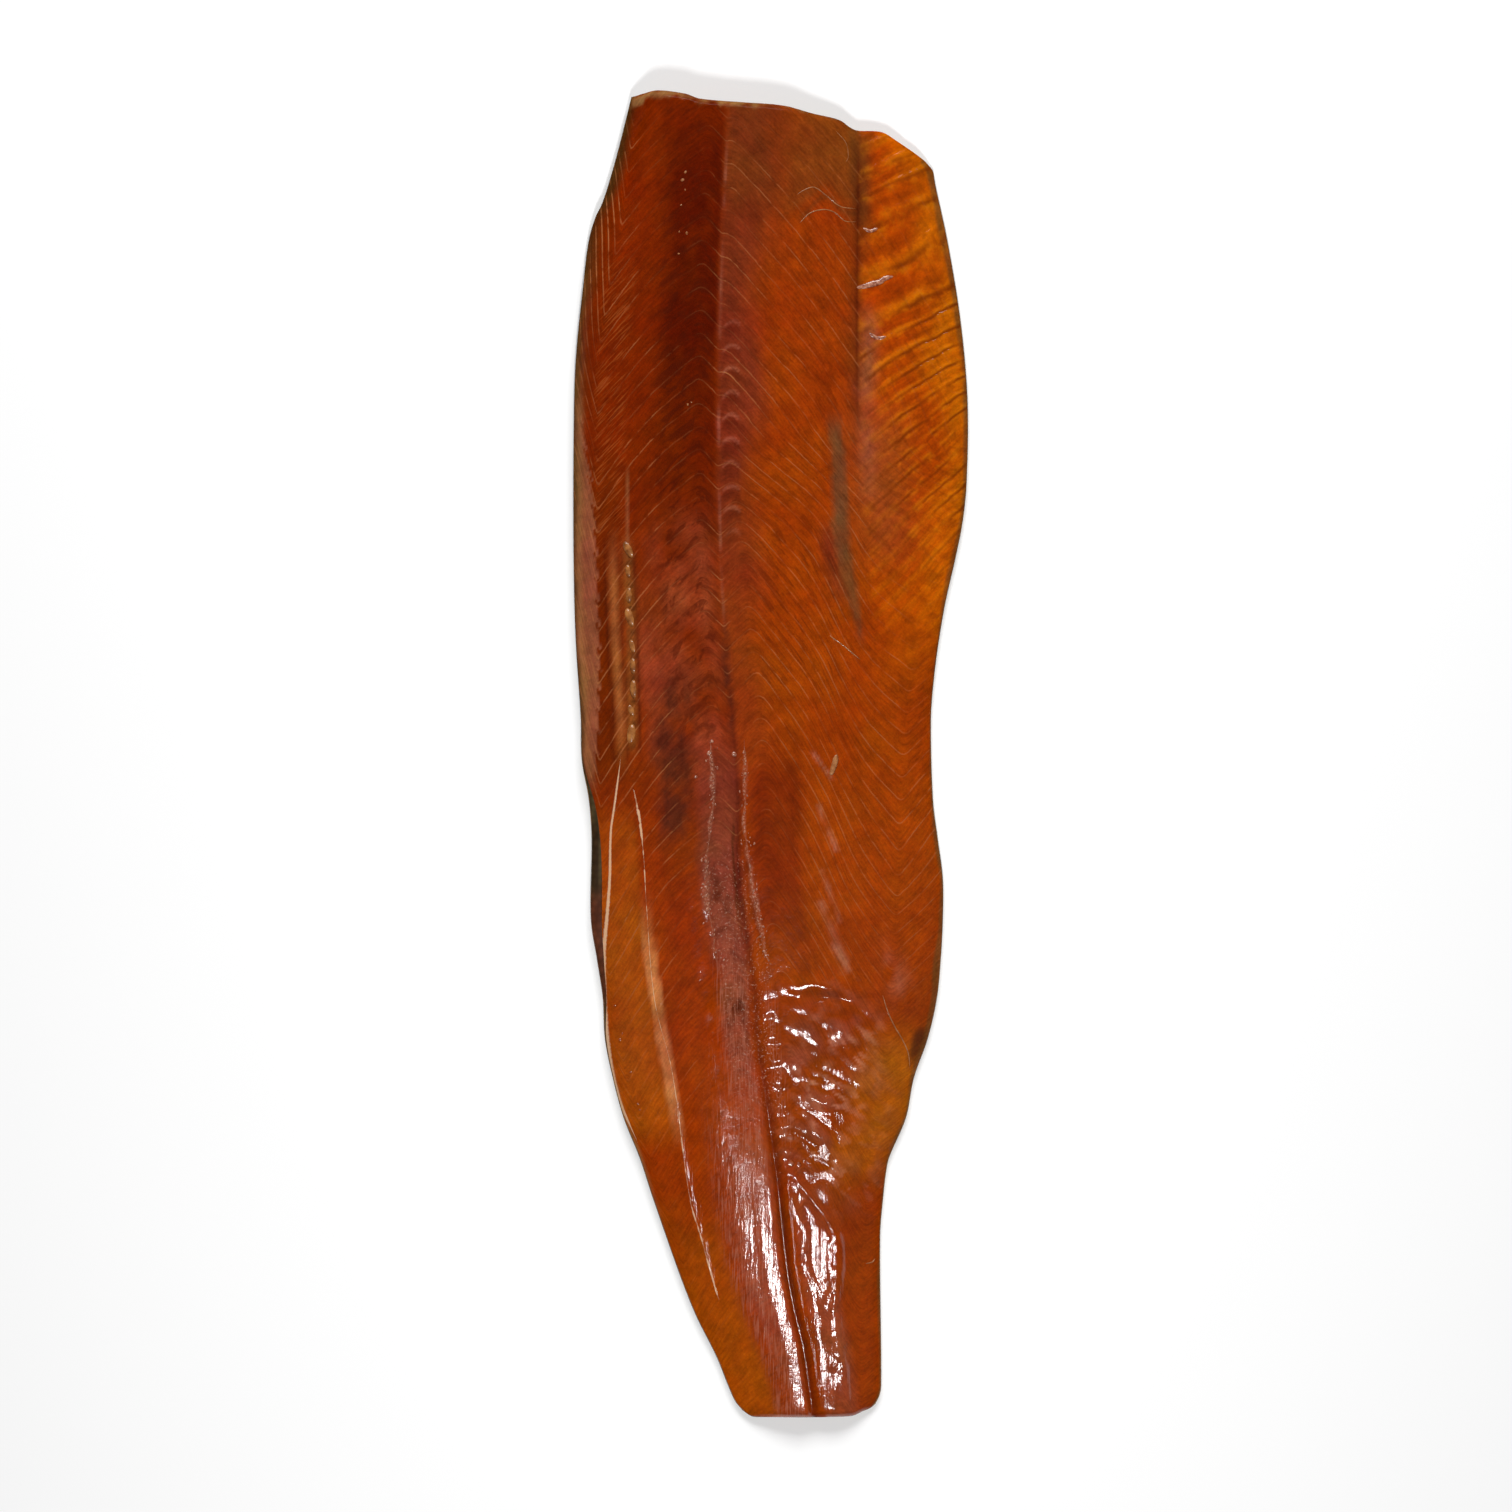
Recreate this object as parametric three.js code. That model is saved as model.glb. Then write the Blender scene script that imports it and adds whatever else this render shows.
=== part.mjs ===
// A whole side of smoked fish, lying on its skin with the cut flesh up: the head end is at +Y, the tail
// at -Y, the back along -X and the thin belly flap along +X. One solid, in millimetres, standing on Z = 0.
// Places on it are given by x and by "down", the distance from the head end towards the tail.
import * as THREE from 'three';

const sideLength = 599;
const flakePitch = 10.35;

// The outline, as [down, x] for the long edges and [x, down] for the two cut ends.
const backEdge = [
  [2.2, -62.8], [23.9, -68.2], [40.1, -72.7], [50.9, -76.3], [56.3, -79], [67.1, -82.1], [85.5, -84.4],
  [121.5, -88], [157.5, -88.9], [211.5, -88.9], [247.5, -88], [283.5, -85.7], [301.5, -85.3],
  [319.5, -82.1], [337.5, -80.8], [373.5, -81.2], [391.5, -78.5], [409.5, -75.8], [427.5, -74.9],
  [445.5, -71.3], [463.5, -66.4], [481.5, -59.2], [499.5, -53.3], [535.5, -40.7], [553.5, -33.5],
  [571.5, -24.5], [585, -19.1], [591.8, -16], [595.8, -12.8],
];
const bellyEdge = [
  [32.4, 71.8], [34.7, 73.6], [40.1, 74.5], [67.1, 80.3], [103.5, 86.2], [139.5, 89.3], [175.5, 88.9],
  [193.5, 87.1], [211.5, 83.5], [229.5, 79.4], [247.5, 76.3], [265.5, 74], [283.5, 72.7], [319.5, 73.6],
  [337.5, 75.8], [355.5, 78.1], [373.5, 78.1], [391.5, 77.2], [409.5, 75.4], [427.5, 71.3],
  [445.5, 65], [463.5, 61.4], [481.5, 53.8], [488.3, 52.4], [499.5, 51.1], [517.5, 49.7], [585, 50.2],
  [589.5, 49.3], [593.1, 47.5],
];
const headCut = [
  [-62.8, 2.2], [-56.9, 0.9], [-50.6, 0], [-38, 1.8], [-31.7, 4], [-12.8, 5.4], [6.1, 6.8], [18.7, 9.9],
  [31.3, 12.6], [37.6, 16.7], [50.2, 17.5], [56.5, 21.1], [69.1, 29.7], [71.8, 32.4],
];
const tailCut = [
  [-12.8, 595.8], [-8.8, 598.5], [-4.7, 599], [34.4, 598.8], [38, 598.3], [41.6, 596.5], [45.2, 595],
  [47.5, 593.1],
];

// Lines that run down the flesh between the two edges, as [down, x]. The back line is a groove that turns
// into a ridge, the seam is where the backbone lay, and the fold is where the belly flap starts.
const backLine = [
  [0.4, -53.3], [49.5, -58.7], [117, -62.8], [202.5, -64.1], [247.5, -62.3], [312.8, -61.4],
  [333, -58.7], [387, -55.1], [409.5, -51.5], [454.5, -44.3], [499.5, -36.2], [546.8, -23.6], [585, -11.5],
  [598.9, -6.1],
];
const seamLine = [
  [5.2, -19.1], [94.5, -22.7], [162, -23.6], [229.5, -21.8], [274.5, -18.2], [318.2, -15.5], [354.6, -15.1],
  [378, -11.9], [402.3, -8.3], [427.5, -6.5], [452.7, -2.5], [489.2, 2.5], [532.8, 7.4], [549.9, 10.6],
  [567, 14.6], [599, 19.1],
];
const foldLine = [
  [16.9, 39.4], [153, 39.4], [211.5, 43], [247.5, 45.7], [301.5, 43.9], [364.5, 41.2], [409.5, 38.5],
  [454.5, 34.9], [499.5, 28.5], [544.5, 28.6], [598.9, 30.4],
];
const guides = [backEdge, backLine, seamLine, foldLine, bellyEdge];
const guideCount = guides.length - 1;

// Thickness of the flesh at eight places across, for sections down the fish.
const heightPlaces = [0, 1, 1.5, 2, 2.5, 3, 3.5, 4];
const sections = [
  { down: 0, heights: [19, 23.5, 25.5, 24, 21.5, 13.5, 9.5, 6] },
  { down: 100, heights: [18, 23.5, 26.5, 24.5, 22, 13, 9, 5.5] },
  { down: 200, heights: [16, 22, 26, 23, 21.5, 14, 9, 5] },
  { down: 300, heights: [14.5, 19, 23.5, 20, 20, 15.5, 10.5, 5] },
  { down: 400, heights: [12.5, 16.5, 20.5, 17.5, 17.5, 15, 11.5, 5] },
  { down: 480, heights: [9, 13, 17, 16.5, 15, 14, 9, 4.5] },
  { down: 550, heights: [6, 8.5, 12.5, 13.5, 12, 12, 7, 4] },
  { down: 599, heights: [5, 6.5, 9.5, 10.5, 9.5, 9.5, 6, 3.5] },
];

// The rim is the widest line round the side. Flesh rounds over above it and skin turns under below it.
const rimAtBack = [[0, 7], [300, 5.5], [599, 2.5]];
const rimAtBelly = 2;
const backRound = 16;
const bellyRound = 8;
const headRoundAtBack = 5.5;
const headRoundAtBelly = 3;
const tailRound = 4;
const skinTurnBack = 0.95;
const skinTurnBelly = 0.25;
const skinTurnEnd = 4;
const skinTurnSteps = 2;

// Spacing of the grid: places across as shares of each gap between guides, and rows along.
const acrossShares = [
  [0, 0.06, 0.2, 0.45, 0.72, 0.9],
  [0, 0.07, 0.22, 0.42, 0.62, 0.8, 0.93],
  [0, 0.05, 0.15, 0.32, 0.5, 0.68, 0.85, 0.95],
  [0, 0.08, 0.2, 0.33, 0.46, 0.6, 0.74, 0.87, 0.96],
];
const endRows = [0, 1, 2.5, 4.5, 7];
const ribRowPitch = 2.6;
const ribRowsEnd = 234;
const plainRowPitch = 6;

// Relief in the flesh.
const seamDepth = [[0, 0.5], [280, 0.7], [340, 1.8], [480, 2.8], [599, 2.6]];
const seamWidth = 2.6;
const foldDepth = [[0, 1.4], [140, 1.2], [230, 0.2], [300, 0]];
const foldWidth = 2.4;
const ribPitch = 9;
const ribSlope = 0.68;
const ribHeight = [[0, 0.7], [30, 1.1], [150, 0.9], [200, 0.5], [240, 0]];
const beadGroove = { from: 200, to: 298, fade: 12, depth: 1.3, width: 2.2, bead: 0.5 };
const backRidge = { from: 312, to: 548, fade: 16, height: 0.8, width: 1.8 };
const tornSeam = { from: 295, to: 410, fade: 30, depth: 1, width: 7, beside: 5 };
const puckers = { x: 30, down: 462, halfWidth: 34, halfLength: 66, height: 1.1, pitch: 10 };

const flesh = { colour: '#8a3a0c', roughness: 0.32 };

const mix = (a, b, share) => a + (b - a) * share;
const clamp01 = (v) => Math.min(1, Math.max(0, v));
const soft = (v) => clamp01(v) ** 2 * (3 - 2 * clamp01(v));
const hump = (distance, width) => Math.exp(-((distance / width) ** 2));
const between = (v, from, to, fade) => soft((v - from) / fade) * soft((to - v) / fade);
const quarterRound = (distance, radius) => Math.sqrt(1 - (1 - clamp01(distance / radius)) ** 2);

// The value at a place on the smooth curve through [place, value] stations.
function along(stations, place) {
  const last = stations.length - 1;
  if (place <= stations[0][0]) return stations[0][1];
  if (place >= stations[last][0]) return stations[last][1];
  let i = 0;
  while (stations[i + 1][0] < place) i += 1;
  const slope = (k) => {
    const a = stations[Math.max(0, k - 1)];
    const b = stations[Math.min(last, k + 1)];
    return (b[1] - a[1]) / (b[0] - a[0]);
  };
  const [from, to] = [stations[i], stations[i + 1]];
  const span = to[0] - from[0];
  const q = (place - from[0]) / span;
  const bend = slope(i) * span * q * (1 - q) ** 2 - slope(i + 1) * span * q ** 2 * (1 - q);
  return mix(from[1], to[1], q ** 2 * (3 - 2 * q)) + bend;
}

// Plan position for u across (0 at the back edge, 4 at the belly edge) and t along (0 head, 1 tail).
function planAt(u, t) {
  const k = Math.min(guideCount - 1, Math.floor(u));
  const point = (guide, at) => {
    const down = mix(guide[0][0], guide[guide.length - 1][0], at);
    return [along(guide, down), down];
  };
  const [a, b] = [point(guides[k], t), point(guides[k + 1], t)];
  const across = (start, end) => mix(start, end, u - k);
  // The cut ends aren't straight between the guides. Their bends die away along the fish.
  const bendAt = (edge, at) => {
    const [c, d] = [point(guides[k], at), point(guides[k + 1], at)];
    return along(edge, across(c[0], d[0])) - across(c[1], d[1]);
  };
  const bend = bendAt(headCut, 0) * (1 - t) ** 8 + bendAt(tailCut, 1) * t ** 8;
  return { x: across(a[0], b[0]), down: across(a[1], b[1]) + bend };
}

function thicknessAt(u, down) {
  const column = (i) => along(sections.map((s) => [s.down, s.heights[i]]), down);
  return along(heightPlaces.map((place, i) => [place, column(i)]), u);
}

function rimAt(u, down) {
  return mix(along(rimAtBack, down), rimAtBelly, u / guideCount);
}

function reliefAt(u, x, down) {
  const fromSeam = x - along(seamLine, down);
  const fromFold = x - along(foldLine, down);
  const fromBackLine = x - along(backLine, down);
  let z = -along(seamDepth, down) * hump(fromSeam, seamWidth);
  z -= along(foldDepth, down) * hump(fromFold, foldWidth);

  const ribWave = Math.cos((2 * Math.PI * (down + ribSlope * (x - foldLine[0][1]))) / ribPitch);
  z += 0.5 * along(ribHeight, down) * ribWave * soft(fromFold / 6) * soft((guideCount - u) / 0.2);

  const beads = 1 - beadGroove.bead * (1 + Math.cos((2 * Math.PI * down) / flakePitch));
  const inGroove = between(down, beadGroove.from, beadGroove.to, beadGroove.fade);
  z -= beadGroove.depth * beads * inGroove * hump(fromBackLine, beadGroove.width);
  const onRidge = between(down, backRidge.from, backRidge.to, backRidge.fade);
  z += backRidge.height * onRidge * hump(fromBackLine, backRidge.width);

  const torn = between(down, tornSeam.from, tornSeam.to, tornSeam.fade);
  z -= tornSeam.depth * torn * hump(fromSeam + tornSeam.beside, tornSeam.width);

  const [px, pd] = [x - puckers.x, down - puckers.down];
  const inPatch = soft(1.4 - Math.hypot(px / puckers.halfWidth, pd / puckers.halfLength) * 1.4);
  const turn = (2 * Math.PI) / puckers.pitch;
  const lumps = Math.sin(turn * (0.8 * px + 0.55 * pd) + Math.sin(pd / 13)) * Math.cos(turn * (0.75 * pd - 0.3 * px));
  return z + puckers.height * inPatch * lumps;
}

function fleshTop(u, t) {
  const { x, down } = planAt(u, t);
  const toBack = x - along(backEdge, down);
  const toBelly = along(bellyEdge, down) - x;
  const rim = rimAt(u, down);
  const headRound = mix(headRoundAtBack, headRoundAtBelly, u / guideCount);
  const rounding = quarterRound(toBack, backRound) * quarterRound(toBelly, bellyRound)
    * quarterRound(t * sideLength, headRound) * quarterRound((1 - t) * sideLength, tailRound);
  const z = rim + (thicknessAt(u, down) - rim) * rounding + reliefAt(u, x, down) * rounding ** 2;
  return [x, sideLength / 2 - down, z];
}

function skinUnder(u, t, step) {
  const turn = (Math.PI / 2) * (step / skinTurnSteps);
  const inward = step === skinTurnSteps ? 1 : 1 - Math.cos(turn);
  const rise = step === skinTurnSteps ? 0 : 1 - Math.sin(turn);
  const end = skinTurnEnd / sideLength;
  const innerU = mix(skinTurnBack, guideCount - skinTurnBelly, u / guideCount);
  const innerT = mix(end, 1 - end, t);
  const { x, down } = planAt(mix(u, innerU, inward), mix(t, innerT, inward));
  return [x, sideLength / 2 - down, rimAt(u, planAt(u, t).down) * rise];
}

function rowPlaces() {
  const rows = [...endRows];
  for (let down = rows[rows.length - 1] + ribRowPitch; down < ribRowsEnd; down += ribRowPitch) rows.push(down);
  const stop = sideLength - endRows[endRows.length - 1];
  const left = Math.round((stop - rows[rows.length - 1]) / plainRowPitch);
  const from = rows[rows.length - 1];
  for (let i = 1; i < left; i += 1) rows.push(mix(from, stop, i / left));
  const tailRows = [...endRows].reverse().map((d) => sideLength - d);
  return [...rows, ...tailRows].map((d) => d / sideLength);
}

function buildFillet() {
  const across = [...acrossShares.flatMap((shares, k) => shares.map((share) => k + share)), guideCount];
  const rows = rowPlaces();
  const vertices = [];
  const faces = [];
  const add = (point) => vertices.push(point) - 1;

  const top = rows.map((t) => across.map((u) => add(fleshTop(u, t))));
  const columns = across.length - 1;
  for (let r = 0; r < rows.length - 1; r += 1) {
    for (let c = 0; c < columns; c += 1) {
      const [a, b, d, e] = [top[r][c], top[r][c + 1], top[r + 1][c], top[r + 1][c + 1]];
      faces.push([a, d, e], [a, e, b]);
    }
  }

  // The rim, once round: head end to the belly side, down to the tail and back up along the back.
  const rim = [];
  for (let c = 0; c < columns; c += 1) rim.push([across[c], rows[0], top[0][c]]);
  for (let r = 0; r < rows.length - 1; r += 1) rim.push([guideCount, rows[r], top[r][columns]]);
  for (let c = columns; c > 0; c -= 1) rim.push([across[c], 1, top[rows.length - 1][c]]);
  for (let r = rows.length - 1; r > 0; r -= 1) rim.push([0, rows[r], top[r][0]]);

  let ring = rim.map(([, , index]) => index);
  for (let step = 1; step <= skinTurnSteps; step += 1) {
    const next = rim.map(([u, t]) => add(skinUnder(u, t, step)));
    ring.forEach((here, i) => {
      const j = (i + 1) % ring.length;
      faces.push([here, ring[j], next[j]], [here, next[j], next[i]]);
    });
    ring = next;
  }

  // The flat sole: strips from side to side, and a fan at each end.
  const last = rows.length - 1;
  const half = Math.floor(columns / 2);
  const bellyAt = (r) => ring[columns + r];
  const backAt = (r) => ring[(2 * columns + 2 * last - r) % ring.length];
  const tailAt = (c) => ring[2 * columns + last - c];
  for (let r = 1; r < last - 1; r += 1) {
    faces.push([backAt(r), bellyAt(r), bellyAt(r + 1)], [backAt(r), bellyAt(r + 1), backAt(r + 1)]);
  }
  for (let c = 0; c < columns; c += 1) {
    const sideAt = c < half ? backAt : bellyAt;
    faces.push([ring[c], ring[c + 1], sideAt(1)], [tailAt(c + 1), tailAt(c), sideAt(last - 1)]);
  }
  faces.push([ring[half], bellyAt(1), backAt(1)], [tailAt(half), backAt(last - 1), bellyAt(last - 1)]);

  const geometry = new THREE.BufferGeometry();
  geometry.setAttribute('position', new THREE.Float32BufferAttribute(vertices.flat(), 3));
  geometry.setIndex(faces.flat());
  geometry.computeBoundingBox();
  const { min, max } = geometry.boundingBox;
  geometry.translate(-(min.x + max.x) / 2, -(min.y + max.y) / 2, -min.z);
  geometry.computeVertexNormals();
  return geometry;
}

const fillet = new THREE.Mesh(
  buildFillet(),
  new THREE.MeshStandardMaterial({ color: flesh.colour, roughness: flesh.roughness, metalness: 0 }),
);
fillet.name = 'fillet';

const part = new THREE.Group();
part.name = 'smoked_fish';
part.add(fillet);

export default part;
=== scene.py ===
import math
import random
from types import SimpleNamespace

import bmesh
import bpy
import numpy as np
from mathutils import Matrix, Vector, noise
from mathutils.bvhtree import BVHTree


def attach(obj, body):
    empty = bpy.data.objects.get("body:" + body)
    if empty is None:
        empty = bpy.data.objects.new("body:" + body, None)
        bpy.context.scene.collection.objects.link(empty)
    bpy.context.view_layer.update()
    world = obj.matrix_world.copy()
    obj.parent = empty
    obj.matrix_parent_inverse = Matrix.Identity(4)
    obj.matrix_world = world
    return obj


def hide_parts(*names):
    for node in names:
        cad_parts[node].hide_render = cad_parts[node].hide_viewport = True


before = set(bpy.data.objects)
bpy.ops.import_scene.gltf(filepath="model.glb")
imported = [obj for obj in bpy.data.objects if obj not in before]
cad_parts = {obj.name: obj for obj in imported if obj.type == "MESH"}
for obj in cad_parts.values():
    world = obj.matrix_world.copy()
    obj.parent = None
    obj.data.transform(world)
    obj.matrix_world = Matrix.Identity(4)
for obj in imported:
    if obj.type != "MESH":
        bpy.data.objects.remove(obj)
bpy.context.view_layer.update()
random.seed(7)

mm = 0.001
sideLength = 599
flakePitch = 10.35
middleX = 0.235

# The outline and the lines that run down the flesh, the same as in the solid.
backEdge = [
    (2.2, -62.8), (23.9, -68.2), (40.1, -72.7), (50.9, -76.3), (56.3, -79), (67.1, -82.1),
    (85.5, -84.4), (121.5, -88), (157.5, -88.9), (211.5, -88.9), (247.5, -88), (283.5, -85.7),
    (301.5, -85.3), (319.5, -82.1), (337.5, -80.8), (373.5, -81.2), (391.5, -78.5),
    (409.5, -75.8), (427.5, -74.9), (445.5, -71.3), (463.5, -66.4), (481.5, -59.2),
    (499.5, -53.3), (535.5, -40.7), (553.5, -33.5), (571.5, -24.5), (585, -19.1),
    (591.8, -16), (595.8, -12.8),
]
bellyEdge = [
    (32.4, 71.8), (34.7, 73.6), (40.1, 74.5), (67.1, 80.3), (103.5, 86.2), (139.5, 89.3),
    (175.5, 88.9), (193.5, 87.1), (211.5, 83.5), (229.5, 79.4), (247.5, 76.3), (265.5, 74),
    (283.5, 72.7), (319.5, 73.6), (337.5, 75.8), (355.5, 78.1), (373.5, 78.1), (391.5, 77.2),
    (409.5, 75.4), (427.5, 71.3), (445.5, 65), (463.5, 61.4), (481.5, 53.8), (488.3, 52.4),
    (499.5, 51.1), (517.5, 49.7), (585, 50.2), (589.5, 49.3), (593.1, 47.5),
]
headCut = [
    (-62.8, 2.2), (-56.9, 0.9), (-50.6, 0), (-38, 1.8), (-31.7, 4), (-12.8, 5.4), (6.1, 6.8),
    (18.7, 9.9), (31.3, 12.6), (37.6, 16.7), (50.2, 17.5), (56.5, 21.1), (69.1, 29.7),
    (71.8, 32.4),
]
tailCut = [
    (-12.8, 595.8), (-8.8, 598.5), (-4.7, 599), (34.4, 598.8), (38, 598.3), (41.6, 596.5),
    (45.2, 595), (47.5, 593.1),
]
backLine = [
    (0.4, -53.3), (49.5, -58.7), (117, -62.8), (202.5, -64.1), (247.5, -62.3), (312.8, -61.4),
    (333, -58.7), (387, -55.1), (409.5, -51.5), (454.5, -44.3), (499.5, -36.2),
    (546.8, -23.6), (585, -11.5), (598.9, -6.1),
]
seamLine = [
    (5.2, -19.1), (94.5, -22.7), (162, -23.6), (229.5, -21.8), (274.5, -18.2), (318.2, -15.5),
    (354.6, -15.1), (378, -11.9), (402.3, -8.3), (427.5, -6.5), (452.7, -2.5), (489.2, 2.5),
    (532.8, 7.4), (549.9, 10.6), (567, 14.6), (599, 19.1),
]
foldLine = [
    (16.9, 39.4), (153, 39.4), (211.5, 43), (247.5, 45.7), (301.5, 43.9), (364.5, 41.2),
    (409.5, 38.5), (454.5, 34.9), (499.5, 28.5), (544.5, 28.6), (598.9, 30.4),
]
guides = [backEdge, backLine, seamLine, foldLine, bellyEdge]
guideCount = len(guides) - 1

# Thickness of the flesh at eight places across, for sections down the fish.
heightPlaces = [0, 1, 1.5, 2, 2.5, 3, 3.5, 4]
sections = {
    0: [19, 23.5, 25.5, 24, 21.5, 13.5, 9.5, 6],
    100: [18, 23.5, 26.5, 24.5, 22, 13, 9, 5.5],
    200: [16, 22, 26, 23, 21.5, 14, 9, 5],
    300: [14.5, 19, 23.5, 20, 20, 15.5, 10.5, 5],
    400: [12.5, 16.5, 20.5, 17.5, 17.5, 15, 11.5, 5],
    480: [9, 13, 17, 16.5, 15, 14, 9, 4.5],
    550: [6, 8.5, 12.5, 13.5, 12, 12, 7, 4],
    599: [5, 6.5, 9.5, 10.5, 9.5, 9.5, 6, 3.5],
}
form = {
    "rimAtBack": [(0, 7), (300, 5.5), (599, 2.5)],
    "rimAtBelly": 2,
    "backRound": 16,
    "bellyRound": 8,
    "headRoundAtBack": 5.5,
    "headRoundAtBelly": 3,
    "tailRound": 4,
    "skinTurnBack": 0.95,
    "skinTurnBelly": 0.25,
    "skinTurnEnd": 4,
}


def mix(a, b, share):
    return a + (b - a) * share


def soft(value):
    held = np.clip(value, 0, 1)
    return held * held * (3 - 2 * held)


def hump(distance, width):
    return np.exp(-((distance / width) ** 2))


def between(value, low, high, fade):
    return soft((value - low) / fade) * soft((high - value) / fade)


def quarterRound(distance, radius):
    return np.sqrt(1 - (1 - np.clip(distance / radius, 0, 1)) ** 2)


# The value at each place on the smooth curve through (place, value) stations.
def along(stations, place):
    places, values = np.array(stations, float).T
    last = len(places) - 1
    at = np.clip(np.asarray(place, float), places[0], places[-1])
    i = np.clip(np.searchsorted(places, at) - 1, 0, last - 1)
    order = np.arange(last + 1)
    before, after = np.maximum(order - 1, 0), np.minimum(order + 1, last)
    slopes = (values[after] - values[before]) / (places[after] - places[before])
    span = places[i + 1] - places[i]
    q = (at - places[i]) / span
    bend = slopes[i] * span * q * (1 - q) ** 2 - slopes[i + 1] * span * q * q * (1 - q)
    return mix(values[i], values[i + 1], q * q * (3 - 2 * q)) + bend


# Plan position for u across (0 back edge, 4 belly edge) and t along (0 head, 1 tail).
def planAt(u, t):
    x, down = np.zeros_like(u), np.zeros_like(u)
    gap = np.minimum(np.floor(u), guideCount - 1)
    for k in range(guideCount):
        here = gap == k
        share, at = u[here] - k, t[here]
        ends = []
        for guide in (guides[k], guides[k + 1]):
            reach = mix(guide[0][0], guide[-1][0], at)
            ends.append((along(guide, reach), reach))
        bend = 0
        for cut, end, weight in ((headCut, 0, (1 - at) ** 8), (tailCut, -1, at**8)):
            (downA, xA), (downB, xB) = guides[k][end], guides[k + 1][end]
            straight = mix(downA, downB, share)
            bend = bend + (along(cut, mix(xA, xB, share)) - straight) * weight
        x[here] = mix(ends[0][0], ends[1][0], share)
        down[here] = mix(ends[0][1], ends[1][1], share) + bend
    return x, down


def thicknessAt(u, down):
    downs = list(sections)
    columns = [
        along([(d, sections[d][i]) for d in downs], down) for i in range(len(heightPlaces))
    ]
    places = np.array(heightPlaces, float)
    last = len(places) - 1
    heights = np.array(columns)
    order = np.arange(last + 1)
    before, after = np.maximum(order - 1, 0), np.minimum(order + 1, last)
    slopes = (heights[after] - heights[before]) / (places[after] - places[before])[:, None]
    i = np.clip(np.searchsorted(places, u) - 1, 0, last - 1)
    span = places[i + 1] - places[i]
    q = (u - places[i]) / span
    every = np.arange(len(u))
    bend = slopes[i, every] * span * q * (1 - q) ** 2
    bend -= slopes[i + 1, every] * span * q * q * (1 - q)
    return mix(heights[i, every], heights[i + 1, every], q * q * (3 - 2 * q)) + bend


def rimAt(u, down):
    return mix(along(form["rimAtBack"], down), form["rimAtBelly"], u / guideCount)


# Smooth noise at each place, about -1 to 1, with lumps of the given size in millimetres.
def cloud(x, down, size, layer, stretch):
    return np.array([
        noise.noise(Vector((a / size, b / size / stretch, layer)))
        for a, b in zip(x.tolist(), down.tolist())
    ])


def toLinear(hexColour):
    parts = [int(hexColour[i:i + 2], 16) / 255 for i in (1, 3, 5)]
    return np.array([c / 12.92 if c <= 0.04045 else ((c + 0.055) / 1.055) ** 2.4 for c in parts])


# Relief in the flesh, in millimetres.
relief = {
    "seamDepth": [
        (0, 0.1), (250, 0.15), (320, 1.0), (355, 1.8), (395, 1.3), (440, 1.5), (480, 2.4), (599, 2.4),
    ],
    "seamLeftWidth": 1.2,
    "seamRightWidth": [(0, 2.2), (300, 1.6), (400, 2.2), (599, 3.0)],
    "foldDepth": [(0, 1.2), (140, 1.0), (230, 0.2), (300, 0)],
    "foldWidth": 2.0,
    "ribHeight": [(0, 0.5), (30, 0.9), (120, 0.8), (180, 0.4), (240, 0)],
    "groove": (200, 298, 12),
    "grooveDepth": 1.5,
    "grooveWidth": 2.4,
    "ridge": (312, 548, 16),
    "ridgeHeight": 0.4,
    "ridgeWidth": 2.2,
    "torn": (290, 396, 20),
    "tornDepth": 0.9,
    "tornRidge": 0.7,
    "tornRidgeWidth": 1.1,
    "puckerMiddle": (31, 455),
    "puckerReach": (33, 58),
    "puckerHeight": 1.3,
    "puckerTurn": 0.6,
    "crease": (401, 0.1),
    "creaseSpan": (2, 54, 9),
    "creaseHeight": 0.9,
    "barHeight": 0.9,
    "lipHeight": [(430, 0), (500, 0.35), (599, 0.5)],
    "lipPlace": [(430, -6.4), (510, -5.6), (560, -5), (599, -4.8)],
    "lipWidth": 5.4,
    "lipLean": 0.048,
    "lipLeans": (490, 30),
    "flakeStep": 0.22,
    "swell": 0.25,
}

# Uneven patches: size of the lumps in millimetres, layer of the noise, and stretch along the side.
clouds = {
    "broad": (34, 1.5, 1.0),
    "lumps": (13, 4.5, 1.6),
    "small": (5, 7.5, 1.5),
    "fine": (2.4, 11.5, 1.3),
}
puckerCloud = (15, 21.5, 0.5)
strokeCloud = (7, 31.5, 0.36)

# The ragged edges of the torn band, as distances from the seam.
tornLeft = [(290, -10.5), (313, -10), (328, -11.6), (344, -13.5), (364, -14.5), (396, -14)]
tornRight = [(290, 5), (328, 3.5), (344, 5.5), (365, 7), (396, 9)]

# Swollen strips beside the groove on the tail. The course is measured from the seam.
tailCrests = {
    "outer": {
        "course": [
            (484, 4), (497, 11), (509, 19), (522, 22.5), (536, 20), (553, 15.5), (575, 14.2), (593, 13.8),
        ],
        "width": 4.2, "height": 0.8, "span": (484, 596, 9), "lean": 0.25, "hollow": 0.03,
    },
    "inner": {
        "course": [(494, 5), (508, 9), (514, 11.3), (530, 9.5), (540, 12.1), (553, 14)],
        "width": 1.8, "height": 0.35, "span": (494, 553, 6), "lean": 0, "hollow": 0,
    },
}

# Ribs of the belly flap: how far down each one meets the fold, and how steeply they rise outward.
ribPlaces = [(8, -1), (20, 0), (30, 1), (42, 2), (51, 3), (67.5, 4), (90.5, 5), (112, 6), (123, 7),
             (135.6, 8), (156, 10), (236, 18), (400, 34)]
ribRise = [(0, 0.5), (60, 0.55), (110, 0.65), (160, 0.95), (240, 1.0)]

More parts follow.
